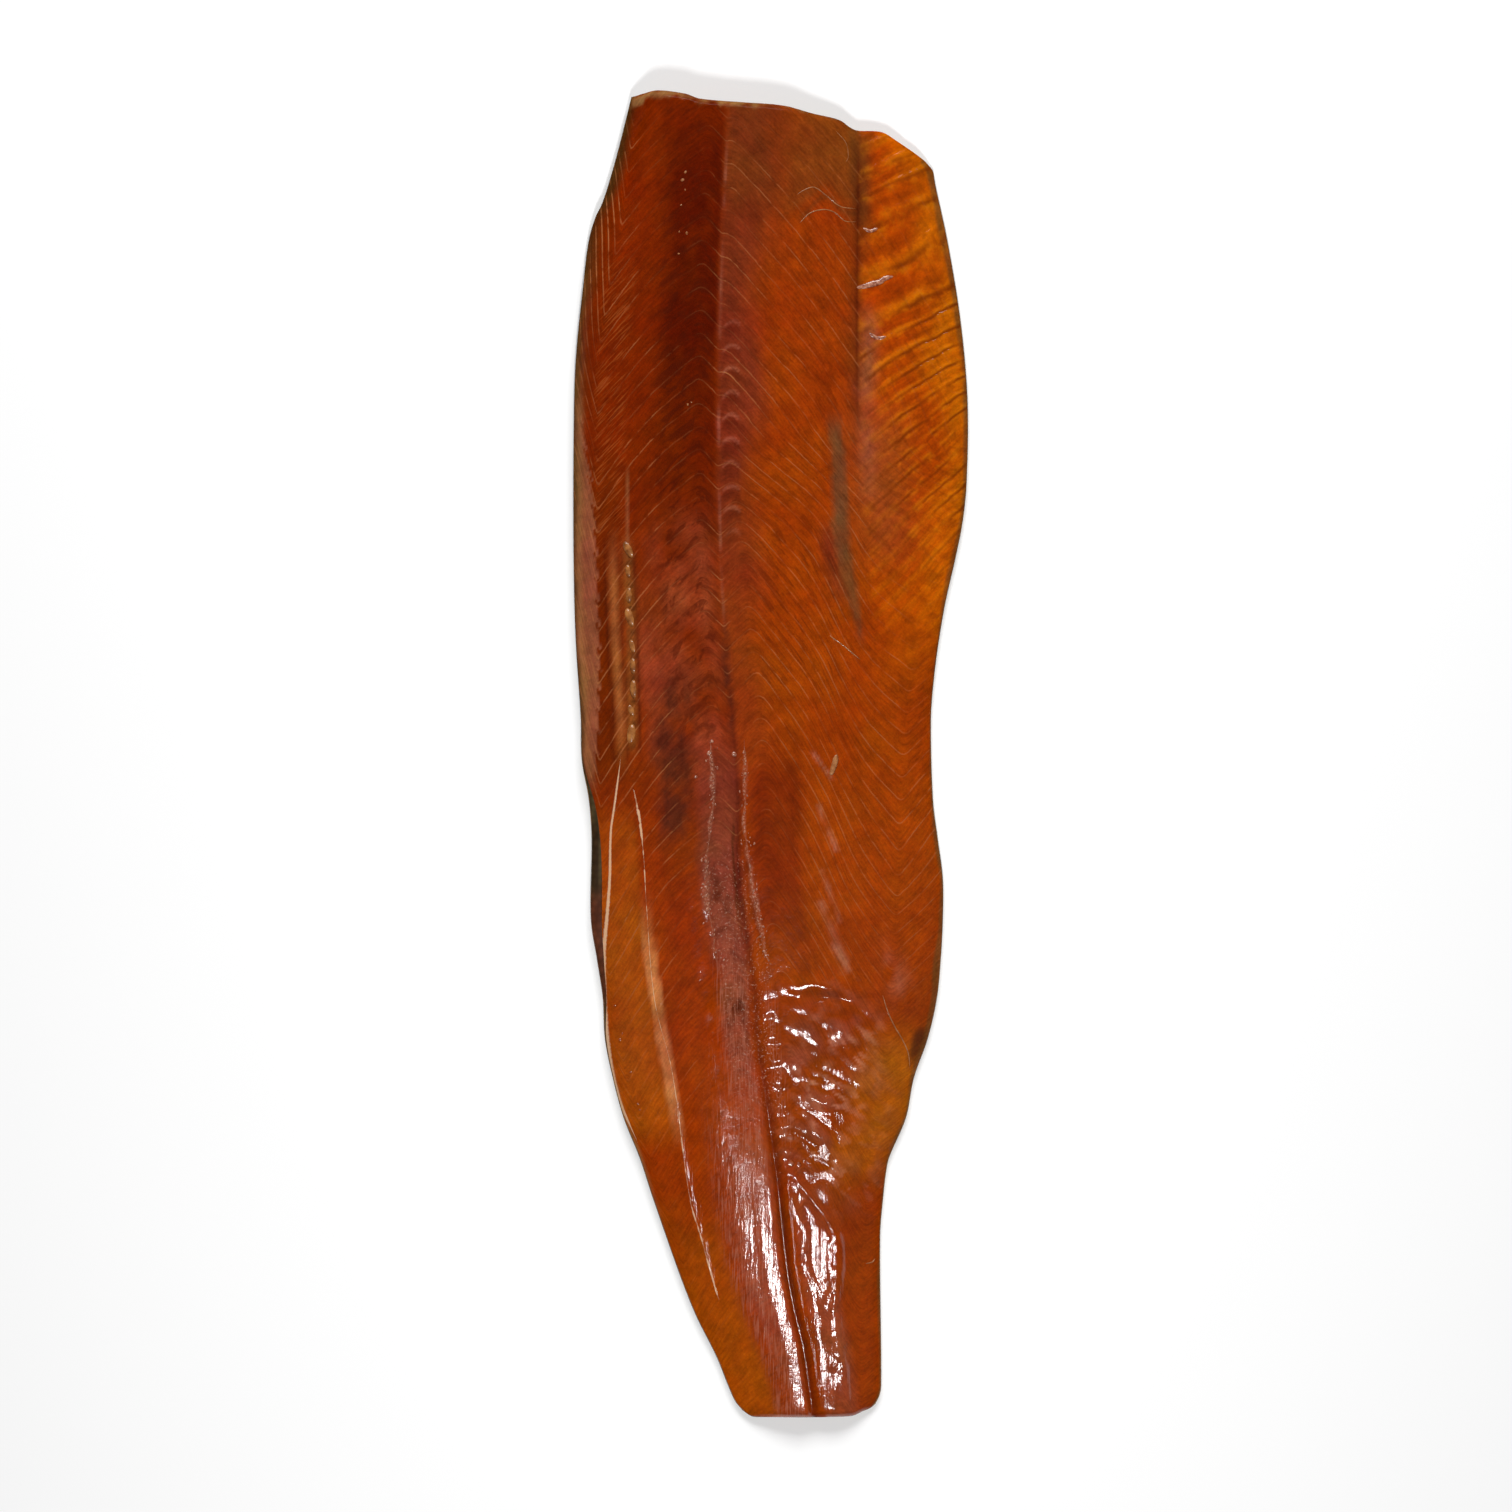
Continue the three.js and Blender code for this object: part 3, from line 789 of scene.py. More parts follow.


# The seam, the edges and single marks, with painted shade in a notch and a crack.
def edgeLayers(place):
    x, down, seam, toBelly = place.x, place.down, place.seam, place.toBelly
    lumps, small, fine = place.lumps, place.small, place.fine
    width = np.where(seam < 0, 0.9, along(bands["seamShade"], down))
    yield "seamShade", along(shares["seam"], down) * hump(seam - 0.5, width)
    yield "lowEdge", 0.6 * soft((2.5 - place.toBack) / 2) * soft((down - 400) / 30) * soft((520 - down) / 40)
    paleSeam = hump(seam - 0.4, 0.6) * between(down, 20, 250, 20)
    yield "paleSeam", 0.4 * paleSeam * (0.55 + 1.3 * small + lumps)
    # Painted shade in a dark notch at the belly edge.
    yield "recessShade", 0.85 * soft(1.4 + 0.4 * small - np.hypot((toBelly - 4) / 3.4, (down - 429) / 9))
    yield "rimOlive", 0.7 * soft((along(bands["bellyRim"], down) + 1.5 * lumps - toBelly) / 1.8)
    for startX, startDown, endX, endDown, width in paleStrokes:
        runX, runDown = endX - startX, endDown - startDown
        share = ((x - startX) * runX + (down - startDown) * runDown) / (runX**2 + runDown**2)
        share = np.clip(share, 0, 1)
        away = np.hypot(x - startX - share * runX, down - startDown - share * runDown) + 0.5 * fine
        yield "wetSheen", 0.65 * hump(away, width) * np.clip(0.8 + small, 0, 1)
    # Painted shade of a thin crack beside the seam.
    yield "recessShade", 0.7 * hump(seam + 1.2 + 0.8 * small, 0.6) * between(down, 322, 386, 14)

    # Pale fat on the back ridge.
    ridgeOn = soft((down - 356) / 48) * soft((478 - down) / 28) * (0.8 + 0.4 * small)
    yield "ridgeFat", 0.85 * ridgeOn * soft((3.6 + 0.8 * small - np.abs(place.back - 0.6)) / 1.6)


def paintFlesh(place):
    down, even = place.down, np.ones((len(place.x), 1))
    paint = lay(even * toLinear(hues["backHead"]), "backMiddle", soft((down - 120) / 160))
    paint = lay(paint, "backTail", soft((down - 300) / 70))
    belly = lay(even * toLinear(hues["bellyHead"]), "bellyMiddle", soft((down - 100) / 150))
    belly = lay(belly, "bellyTail", soft((down - 350) / 90))
    paint = mix(paint, belly, soft((place.seam + 3 + 1.5 * place.small) / 7)[:, None])
    for layers in (muscleLayers, headLayers, flapLayers, backLayers, tailLayers, puckerLayers, edgeLayers):
        for name, mask in layers(place):
            paint = lay(paint, name, mask)
    return paint * (1 + 0.1 * place.broad + 0.08 * place.lumps + 0.05 * place.small)[:, None]


# Pale lines of fat: the course, the width down the side, and the stretch. Gaps are in widths.
paleLines = {
    "edge": {
        "course": [
            (296, -66.5), (321.3, -70), (333.9, -71.8), (354.6, -72.3), (370, -73.4), (391.5, -75.2),
            (427.5, -74), (454.5, -68.4), (477, -58.7),
        ],
        "width": [(296, 0.5), (350, 0.8), (400, 1.5), (425, 1.9), (445, 1.3), (477, 0.6)],
        "span": (298, 476, 16),
    },
    "back": {
        "course": [
            (314, -61.4), (328.5, -58.7), (344.7, -56.9), (364.5, -55.8), (409.5, -52), (441, -44.3),
            (499.5, -36.2), (515, -31.7), (532.8, -26.8), (545.5, -23.2),
        ],
        "width": [(314, 1.3), (330, 0.8), (346, 0.5), (362, 0.25), (450, 0.25), (480, 0.45), (545, 0.6)],
        "span": (314, 546, 5),
    },
}
tiny = 0.001


def paleGap(place, line):
    gap = (place.x - along(line["course"], place.down)) / along(line["width"], place.down)
    return gap / np.maximum(between(place.down, *line["span"]), tiny)


def tornGap(place, side):
    torn = between(place.down, *relief["torn"])
    torn *= np.clip(0.7 + 1.3 * place.lumps + 0.9 * place.small, 0.15, 1)
    return (place.seam - along(side, place.down) + 1.4 * place.small) / np.maximum(torn, tiny)


# How strongly lines, rib valleys, wet streaks, blotches, hatching, painted fibrous sheen and wet skin show
# at each place.
def marksOn(place):
    x, down, seam, toBack = place.x, place.down, place.seam, place.toBack
    flap = onFlap(place)
    muscle = between(seam, -30, 0, 6)
    arcs = between(seam, 0, 10, 2) * between(down, 60, 160, 30)
    lines = along(shares["lines"], down) * (1 - 0.75 * muscle) * (1 - 0.8 * flap) + 0.6 * arcs
    lines *= 1 - soft((down - 395) / 20) * soft(seam / 8)
    quietZones = [
        between(seam, 10, 32, 8) * between(down, 285, 400, 40),
        between(x, -62, -32, 6) * soft((125 - down) / 30),
        between(seam, -1, 14, 5) * soft((down - 165) / 20),
        soft((seam - 2) / 3) * soft((42 - down) / 12),
    ]
    lines = lines * (1 - 0.8 * np.max(quietZones, axis=0)) * (1 - 0.25 * soft(seam / 8))
    lines += 0.7 * between(toBack, 1, 13, 3) * between(down, 22, 100, 14)
    lines *= 1 - 0.45 * between(toBack, -1, 26, 5) * between(down, 95, 210, 20)
    lines *= 1 - 0.85 * streakAt(place)

    ribs = flap * along(shares["ribs"], down)
    ribs *= 1 - 0.6 * soft((20 - place.fold) / 9) * soft((down - 118) / 25)
    streaky = soft((down - 400) / 80) * soft((x + 75) / 20) * soft((50 - x) / 8)
    blotchZones = [
        0.35 + 0.65 * muscle * soft((330 - down) / 60),
        0.6 * between(seam, 8, 60, 10) * between(down, 170, 300, 40),
        between(seam, -16, -1, 4) * between(down, 330, 460, 30),
    ]
    blotches = np.max(blotchZones, axis=0) * along(shares["blotches"], down)
    hatch = between(toBack, 8, 26, 4) * between(down, 60, 230, 40)

    # The wet shine, less of it on the edges, the head, the puckers and the amber side of the tail.
    amberSide = along(bands["tailAmber"], down)
    gloss = along(shares["gloss"], down)
    gloss *= 0.08 + 0.92 * soft((toBack - 1) / 8) * soft(place.toBelly / 5)
    gloss *= soft((place.headAway - 2) / 8)
    dullZones = [
        0.8 * between(seam, -26, -3, 6) * between(down, 395, 518, 18),
        0.85 * between(seam, 0, 7, 1.5) * soft((down - 478) / 20),
        0.6 * between(seam, 12, 24, 4) * between(down, 474, 496, 8),
        0.35 * place.inPucker,
        0.6 * soft((amberSide - 2 - seam) / 6) * soft((down - 430) / 40),
        0.9 * soft((15 - toBack) / 6) * soft((120 - down) / 40),
    ]
    for zone in dullZones:
        gloss *= 1 - zone
    speckled = between(seam, -15, 10, 4) * between(down, 335, 470, 25)
    # Pinkish streaks of painted sheen along the wet tail.
    fibrousSheenZones = [
        soft((down - 440) / 60) * between(seam, amberSide - 5, -2, 7),
        0.8 * between(seam, -18, -1.5, 3) * soft((down - 370) / 40),
        0.7 * between(seam, 3, 12, 3) * between(down, 395, 480, 16),
    ]
    fibrousSheen = np.max(fibrousSheenZones, axis=0)
    return {
        "flakes": (place.flake, place.rib, place.flakeWidth),
        "marks": (lines, ribs, streaky),
        "textures": (blotches, hatch, gloss),
        "wetness": (speckled, fibrousSheen, flap),
        "fatLines": (paleGap(place, paleLines["edge"]), paleGap(place, paleLines["back"]), seam),
        "torn": (tornGap(place, tornLeft), tornGap(place, tornRight), 0 * seam),
    }


def writeAttributes(mesh, vectors, paint):
    for name, values in vectors.items():
        made = mesh.attributes.new(name, "FLOAT_VECTOR", "POINT")
        made.data.foreach_set("vector", np.stack(values, axis=1).astype(np.float32).ravel())
    colours = np.concatenate([np.clip(paint, 0, 1), np.ones((len(paint), 1))], axis=1)
    made = mesh.attributes.new("paint", "FLOAT_COLOR", "POINT")
    made.data.foreach_set("color", colours.astype(np.float32).ravel())


# Settings that many nodes share.
multiply = {"operation": "MULTIPLY"}
multiplyAdd = {"operation": "MULTIPLY_ADD"}
absolute = {"operation": "ABSOLUTE"}
add = {"operation": "ADD"}
subtract = {"operation": "SUBTRACT"}
fraction = {"operation": "FRACT"}
smooth = {"interpolation_type": "SMOOTHSTEP"}
overlay = {"data_type": "RGBA"}
tint = {"data_type": "RGBA", "blend_type": "MULTIPLY", 0: 1.0}
plainNoise = {"Detail": 3.0, "Roughness": 0.6, "Scale": 1.0}

# Cured, oily fish flesh: amber to red-brown, with thin pale walls between the flakes.
fleshFinish = {
    "lineColour": "#ad6a3e",
    "lineWidth": 0.42,
    "lineShare": 0.45,
    "valleyShade": "#682602",
    "ribColour": "#bc6c08",
    "blotchColour": "#451003",
    "hatchColour": "#96461a",
    "fatColour": "#d4ac88",
    "tornColour": "#bd8468",
    "sheenColour": "#a3604a",
    "noiseSizes": {"grain": 1.1, "mottle": 7, "patches": 26},
    "stretchedSizes": {"fibres": (0.7, 11), "wrinkles": (2.4, 22)},
    "hatchSize": (0.8, 14),
    "alongStreak": 6,
    "alongBlotch": 9,
    "surface": {
        "Subsurface Weight": 0.1,
        "Subsurface Radius": (1.0, 0.35, 0.12),
        "Subsurface Scale": 1.2 * mm,
        "Specular IOR Level": 0.0,
        "Coat Roughness": 0.1,
        "Coat IOR": 1.4,
    },
}


def setInputs(shader, values):
    for name, value in values.items():
        shader.inputs[name].default_value = value


def fleshNodes(tree, shader):
    look = fleshFinish
    place = addNode(tree, "TexCoord", {})["Object"]
    base = addNode(tree, "Attribute", {"attribute_name": "paint"})["Color"]
    channels = []
    for name in ("flakes", "marks", "textures", "wetness", "fatLines", "torn"):
        vector = addNode(tree, "Attribute", {"attribute_name": name})["Vector"]
        channels += list(addNode(tree, "SeparateXYZ", {}, vector))
    flake, rib, width, lines, ribs, streaky, blotches, hatch, gloss = channels[:9]
    speckled, fibrousSheen, flap, edgeLine, backFat, seam, tornA, tornB = channels[9:17]

    # Noises: grain, mottling and broad patches, and others drawn out along the body.
    noises = []
    for size in look["noiseSizes"].values():
        noises.append(addNode(tree, "TexNoise", {**plainNoise, "Scale": 1 / (size * mm)}, place)[0])
    for thick, long in look["stretchedSizes"].values():
        drawn = addNode(tree, "Mapping", {"Scale": (1 / (thick * mm), 1 / (long * mm), 0)}, place)[0]
        noises.append(addNode(tree, "TexNoise", plainNoise, drawn)[0])
    grain, mottle, patches, fibres, wrinkles = noises

    # Streaks and blotches that follow the flakes, or the ribs on the flap.
    followed = []
    courses = (
        (flake, 7.0, "alongStreak", 0.0), (rib, 5.0, "alongStreak", 0.0), (flake, 1.5, "alongBlotch", 0.8),
    )
    for course, often, reach, warped in courses:
        over = addNode(tree, "Math", multiply, course, often)[0]
        down = addNode(tree, "Math", multiply, seam, 1 / look[reach])[0]
        route = addNode(tree, "CombineXYZ", {}, over, down)[0]
        followed.append(addNode(tree, "TexNoise", {**plainNoise, "Distortion": warped}, route)[0])
    flakeStreaks, ribStreaks, blotch = followed
    streaks = addNode(tree, "Mix", {"data_type": "FLOAT"}, flap, None, flakeStreaks, ribStreaks)[0]

    # The pale walls between the flakes, broken up.
    warp = addNode(tree, "Math", multiplyAdd, mottle, 0.16, flake)[0]
    warp = addNode(tree, "Math", multiplyAdd, grain, 0.05, warp)[0]
    part = addNode(tree, "Math", fraction, warp)[0]
    gap = addNode(tree, "Math", subtract, part, 0.5)[0]
    gap = addNode(tree, "Math", absolute, gap)[0]
    gap = addNode(tree, "Math", multiply, gap, width)[0]
    wall = addNode(tree, "MapRange", smooth, gap, look["lineWidth"], 0.08, 0.0, 1.0)[0]
    shown = addNode(tree, "MapRange", smooth, patches, 0.38, 0.58, 0.15, 1.0)[0]
    broken = addNode(tree, "MapRange", smooth, mottle, 0.34, 0.56, 0.1, 1.0)[0]
    for mask in (shown, broken, lines, look["lineShare"]):
        wall = addNode(tree, "Math", multiply, wall, mask)[0]

    # Darker blotches in the muscle, darkest just below each wall.
    below = addNode(tree, "MapRange", smooth, part, 0.5, 1.0, 0.0, 0.16)[0]
    blotch = addNode(tree, "Math", add, blotch, below)[0]
    blotch = addNode(tree, "MapRange", smooth, blotch, 0.56, 0.4, 0.0, 0.62)[0]
    blotch = addNode(tree, "Math", multiply, blotch, blotches)[0]

    # Rib valleys on the flap, painted darker as shade in the valleys, with paler backs.
    ribPart = addNode(tree, "Math", multiplyAdd, mottle, 0.3, rib)[0]
    ribPart = addNode(tree, "Math", fraction, ribPart)[0]
    ribPart = addNode(tree, "Math", subtract, ribPart, 0.5)[0]
    ribPart = addNode(tree, "Math", absolute, ribPart)[0]
    valley = addNode(tree, "MapRange", smooth, ribPart, 0.33, 0.5, 0.0, 0.78)[0]
    valley = addNode(tree, "Math", multiply, valley, shown)[0]
    valley = addNode(tree, "Math", multiply, valley, ribs)[0]
    crest = addNode(tree, "MapRange", smooth, ribPart, 0.05, 0.42, 0.0, 1.0)[0]
    crest = addNode(tree, "Math", subtract, crest, valley)[0]
    patchy = addNode(tree, "MapRange", smooth, mottle, 0.42, 0.7, 0.0, 0.45)[0]
    crest = addNode(tree, "Math", multiply, crest, patchy)[0]
    crest = addNode(tree, "Math", multiply, crest, ribs)[0]

    # Fine hatching beside the fin strip, at 45 degrees.
    thick, long = look["hatchSize"]
    turned = addNode(tree, "Mapping", {"Rotation": (0, 0, math.radians(45))}, place)[0]
    turned = addNode(tree, "Mapping", {"Scale": (1 / (thick * mm), 1 / (long * mm), 0)}, turned)[0]
    scratch = addNode(tree, "TexNoise", plainNoise, turned)[0]
    scratch = addNode(tree, "MapRange", smooth, scratch, 0.5, 0.65, 0.0, 0.6)[0]
    scratch = addNode(tree, "Math", multiply, scratch, hatch)[0]

    # Pale fat lines and the speckled edges of the torn band.
    jitter = addNode(tree, "Math", multiplyAdd, grain, 1.6, -0.8)[0]
    worn = addNode(tree, "MapRange", smooth, mottle, 0.4, 0.58, 0.6, 0.0)[0]
    gaps = []
    for first, second, loose in ((edgeLine, backFat, 0.5), (tornA, tornB, 2.6)):
        first = addNode(tree, "Math", absolute, first)[0]
        second = addNode(tree, "Math", absolute, second)[0]
        second = addNode(tree, "Math", add, second, worn)[0]
        nearest = addNode(tree, "Math", {"operation": "MINIMUM"}, first, second)[0]
        gaps.append(addNode(tree, "Math", multiplyAdd, jitter, loose, nearest)[0])
    fat = addNode(tree, "MapRange", smooth, gaps[0], 0.95, 0.35, 0.0, 0.85)[0]
    tornEdge = addNode(tree, "MapRange", smooth, gaps[1], 2.5, 0.5, 0.0, 1.0)[0]
    speckle = addNode(tree, "MapRange", smooth, grain, 0.46, 0.62, 0.1, 0.75)[0]
    tornEdge = addNode(tree, "Math", multiply, tornEdge, speckle)[0]

    # Pale specks in the torn band, and pinkish fibres of painted sheen along the wet tail.
    specks = addNode(tree, "MapRange", smooth, grain, 0.56, 0.7, 0.0, 0.5)[0]
    specks = addNode(tree, "Math", multiply, specks, speckled)[0]
    sheen = addNode(tree, "MapRange", smooth, fibres, 0.46, 0.64, 0.0, 0.6)[0]
    sheen = addNode(tree, "Math", multiply, sheen, fibrousSheen)[0]

    # Light and dark over everything: grain, mottling and streaks along the flakes.
    tone = addNode(tree, "MapRange", {}, mottle, 0.3, 0.7, 0.84, 1.18)[0]
    for noiseValue, spread in ((grain, 0.13), (streaks, 0.2)):
        factor = addNode(tree, "MapRange", {}, noiseValue, 0.3, 0.7, 1 - spread, 1 + spread)[0]
        tone = addNode(tree, "Math", multiply, tone, factor)[0]
    amber = addNode(tree, "MapRange", {}, patches, 0.3, 0.7, 0.84, 1.16)[0]
    green = addNode(tree, "Math", multiply, tone, amber)[0]
    tone = addNode(tree, "CombineColor", {}, tone, green, tone)[0]
    colour = addNode(tree, "Mix", {**tint, 6: base, 7: tone})[2]
    layers = (
        (blotch, "blotchColour"), (crest, "ribColour"), (valley, "valleyShade"), (scratch, "hatchColour"),
        (wall, "lineColour"), (sheen, "sheenColour"), (specks, "tornColour"), (fat, "fatColour"),
        (tornEdge, "tornColour"),
    )
    for share, name in layers:
        colour = addNode(tree, "Mix", {**overlay, 0: share, 6: colour, 7: (*toLinear(look[name]), 1.0)})[2]

    # Heights in millimetres for the bump: grain, lines and, on the tail, wet streaks.
    height = addNode(tree, "Math", multiply, grain, 0.05)[0]
    drawn = addNode(tree, "Math", multiply, fibres, streaky)[0]
    creased = addNode(tree, "Math", multiply, wrinkles, streaky)[0]
    heights = (
        (mottle, 0.16), (wall, 0.08), (drawn, 0.03), (creased, 0.26), (fat, 0.12), (tornEdge, 0.35),
        (specks, 0.3), (valley, -0.2),
    )
    for raised, reach in heights:
        height = addNode(tree, "Math", multiplyAdd, raised, reach, height)[0]
    bump = addNode(tree, "Bump", {"Strength": 1.0, "Distance": mm, "Height": height})[0]
    rough = addNode(tree, "MapRange", {}, grain, 0.3, 0.7, 0.42, 0.58)[0]
    for name, socket in {
        "Base Color": colour, "Normal": bump, "Coat Normal": bump, "Roughness": rough, "Coat Weight": gloss,
    }.items():
        tree.links.new(socket, shader.inputs[name])
    setInputs(shader, look["surface"])


fleshMaterial, fleshTree, fleshShader = newMaterial("smokedFlesh")
fleshNodes(fleshTree, fleshShader)
flesh, onFlesh, fleshSurface = makeFlesh(fleshMaterial)
writeAttributes(flesh.data, marksOn(onFlesh), paintFlesh(onFlesh))
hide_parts("fillet")
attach(flesh, "root")
print("flesh faces", len(flesh.data.polygons))

print("skin")
# Smoked skin, bronze with small scales, wraps the underside and turns up round the flesh.
skinLook = {
    "columns": (22, 10, 10, 16),
    "ease": (2.2, 1, 1, -2.2),
    "rows": 300,
    "lip": 0.5,
    "thick": 0.45,
    "scale": 3.4,
    "patch": 18,
    "relief": 0.3,
    "backColour": "#54462c",
    "sideColour": "#5e4826",
    "bellyColour": "#8b6a38",
    "lineColour": "#3a2a1a",
    "edgeColour": "#6d4c26",
    "bareColour": "#5e3320",
    "surface": {"Specular IOR Level": 0.3, "Coat Weight": 0.35, "Coat Roughness": 0.25, "Coat IOR": 1.4},
}


def makeSkin(material):
    look = skinLook
    across = columnsAcross(look["columns"], look["ease"])
    rows = rowsAlong(look["rows"], fleshLook["nearEnd"])
    bm, acrossLayer, alongLayer = gridOf(across, rows)
    lips = extrudeEdge(bm, [e for e in bm.edges if e.is_boundary])[0]
    bm.verts.index_update()
    u, t = layerValues(bm.verts, acrossLayer), layerValues(bm.verts, alongLayer)
    x, down = planAt(u, t)
    z = undersideAt(u, t, down)
    z[[v.index for v in lips]] += look["lip"]
    setPoints(bm.verts, toPoints(x, down, z))
    bmesh.ops.reverse_faces(bm, faces=bm.faces[:])
    bm.normal_update()
    bmesh.ops.solidify(bm, geom=bm.faces[:], thickness=look["thick"] * mm)
    u, t = layerValues(bm.verts, acrossLayer), layerValues(bm.verts, alongLayer)
    heights = np.array([v.co.z for v in bm.verts]) / mm
    return finishMesh(bm, "skin", material), u, t, heights


def paintSkin(u, t, heights):
    look = skinLook
    down = planAt(u, t)[1]
    onEdge = soft((heights - rimAt(u, down) + 0.2) / 0.6)
    # Bare of flesh for a stretch along the back.
    bare = soft((heights - undersideAt(u, t, down) - 0.1) / 0.2) * soft((0.5 - u) / 0.1)
    darkBare = bare * between(down, 326, 364, 8) * soft((0.16 - u) / 0.06)
    paint = np.ones((len(u), 1)) * toLinear(look["backColour"])
    layers = (
        ("sideColour", soft(u / 1.6)), ("bellyColour", soft((u - 2.2) / 1.2)),
        ("lineColour", 0.8 * hump(u - 2, 0.06)), ("edgeColour", 0.7 * onEdge),
        ("bareColour", bare * between(down, 352, 420, 16)), ("lineColour", darkBare),
    )
    for name, mask in layers:
        paint = mix(paint, toLinear(look[name]), mask[:, None])
    return paint


def skinNodes(tree, shader):
    look = skinLook
    place = addNode(tree, "TexCoord", {})["Object"]
    base = addNode(tree, "Attribute", {"attribute_name": "paint"})["Color"]
    scales = addNode(tree, "TexVoronoi", {"Scale": 1 / (look["scale"] * mm), "Randomness": 0.55}, place)[0]
    patches = addNode(tree, "TexNoise", {"Scale": 1 / (look["patch"] * mm), "Detail": 4.0}, place)[0]
    tone = addNode(tree, "MapRange", {}, scales, 0.1, 0.7, 1.25, 0.7)[0]
    blotch = addNode(tree, "MapRange", {}, patches, 0.3, 0.7, 0.75, 1.3)[0]
    tone = addNode(tree, "Math", multiply, tone, blotch)[0]
    tone = addNode(tree, "CombineColor", {}, tone, tone, tone)[0]
    colour = addNode(tree, "Mix", {**tint, 6: base, 7: tone})[2]
    bump = addNode(tree, "Bump", {"Strength": 0.5, "Distance": look["relief"] * mm, "Height": scales})[0]
    rough = addNode(tree, "MapRange", {}, patches, 0.3, 0.7, 0.34, 0.5)[0]
    for name, socket in (("Base Color", colour), ("Normal", bump), ("Roughness", rough)):
        tree.links.new(socket, shader.inputs[name])
    setInputs(shader, look["surface"])


skinMaterial, skinTree, skinShader = newMaterial("smokedSkin")
skinNodes(skinTree, skinShader)
skin, *onSkin = makeSkin(skinMaterial)
writeAttributes(skin.data, {}, paintSkin(*onSkin))
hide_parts("fillet")
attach(skin, "root")
print("skin faces", len(skin.data.polygons))


# The point on the flesh right below a place, in metres.
def onTop(x, down, lift=0.0):
    start = Vector(((x - middleX) * mm, (sideLength / 2 - down) * mm, 1))
    hit = fleshSurface.ray_cast(start, Vector((0, 0, -1)))[0]
    return hit + Vector((0, 0, lift * mm))


# A small finish with a noise over its colour, for the fat, the fin roots and the oil.
def smallFinish(name, dark, light, size, surface):
    material, tree, shader = newMaterial(name)
    place = addNode(tree, "TexCoord", {})["Object"]
    noiseFac = addNode(tree, "TexNoise", {"Scale": 1 / (size * mm), "Detail": 3.0}, place)[0]
    share = addNode(tree, "MapRange", {}, noiseFac, 0.35, 0.65, 0.0, 1.0)[0]
    ends = {6: (*toLinear(dark), 1), 7: (*toLinear(light), 1)}
    colour = addNode(tree, "Mix", {**overlay, 0: share, **ends})[2]
    bump = addNode(tree, "Bump", {"Strength": 0.6, "Distance": 0.15 * mm, "Height": noiseFac})[0]
    tree.links.new(colour, shader.inputs["Base Color"])
    tree.links.new(bump, shader.inputs["Normal"])
    setInputs(shader, surface)
    return material


def smallPiece(bm, name, material):
    bmesh.ops.recalc_face_normals(bm, faces=bm.faces[:])
    piece = finishMesh(bm, name, material)
    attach(piece, "root")


# A lump of a given size, turned about the vertical, sunk a little into the flesh.
def addLump(bm, x, down, size, turn, sunk=0.15, detail=2):
    at = Matrix.Translation(onTop(x, down, -sunk * size[2])) @ Matrix.Rotation(turn, 4, "Z")
    shape = Matrix.Diagonal((size[0] * mm / 2, size[1] * mm / 2, size[2] * mm / 2, 1))
    return bmesh.ops.create_icosphere(bm, subdivisions=detail, radius=1, matrix=at @ shape)["verts"]


# A thread lying on the flesh through the given places: a tapered tube, flatter than it is wide.
def layThread(bm, points, width, tall, step=0.8):
    before = len(bm.verts)
    legs = np.cumsum([0] + [math.dist(a, b) for a, b in zip(points, points[1:])])
    steps = max(4, round(legs[-1] / step))
    reach = np.linspace(0, legs[-1], steps + 1)
    xs = along([(leg, point[0]) for leg, point in zip(legs, points)], reach)
    downs = along([(leg, point[1]) for leg, point in zip(legs, points)], reach)
    route = [onTop(x, down) for x, down in zip(xs, downs)]
    verts = bmesh.ops.create_cone(bm, cap_ends=True, segments=8, radius1=1, radius2=1, depth=1)["verts"]
    upright = {e for v in verts for e in v.link_edges if abs(e.verts[0].co.z - e.verts[1].co.z) > 0.5}
    bmesh.ops.subdivide_edges(bm, edges=list(upright), cuts=steps - 1)
    bm.verts.ensure_lookup_table()
    for v in bm.verts[before:]:
        i = round((v.co.z + 0.5) * steps)
        ahead = (route[min(i + 1, steps)] - route[max(i - 1, 0)]).normalized()
        side = ahead.cross(Vector((0, 0, 1))).normalized()
        taper = math.sqrt(max(0.03, 1 - abs(2 * i / steps - 1) ** 3))
        taper *= 1 + 0.25 * noise.noise(route[i] * 900)
        across, up = v.co.x * width * taper * mm / 2, v.co.y * tall * taper * mm / 2
        v.co = route[i] + side * across + side.cross(ahead) * up


print("fat, torn shreds, fin roots and oil")
fatWet = {
    "Roughness": 0.35,
    "Coat Weight": 0.8,
    "Coat Roughness": 0.12,
    "Subsurface Weight": 0.2,
    "Subsurface Radius": (1.0, 0.5, 0.3),
    "Subsurface Scale": 0.8 * mm,
    "Specular IOR Level": 0.2,
}
fatMaterial = smallFinish("curedFat", "#7e4620", "#a26c42", 2.5, {**fatWet, "Coat Weight": 0.3})
shredMaterial = smallFinish("tornMembrane", "#7a3c28", "#b98268", 1.2, fatWet)
rootMaterial = smallFinish("finRootCartilage", "#744018", "#a66a34", 3, {**fatWet, "Coat Weight": 0.4})
oilWet = {**fatWet, "Coat Weight": 1, "Coat Roughness": 0.03}
oilMaterial = smallFinish("fishOil", "#7a3004", "#8c3c06", 4, oilWet)

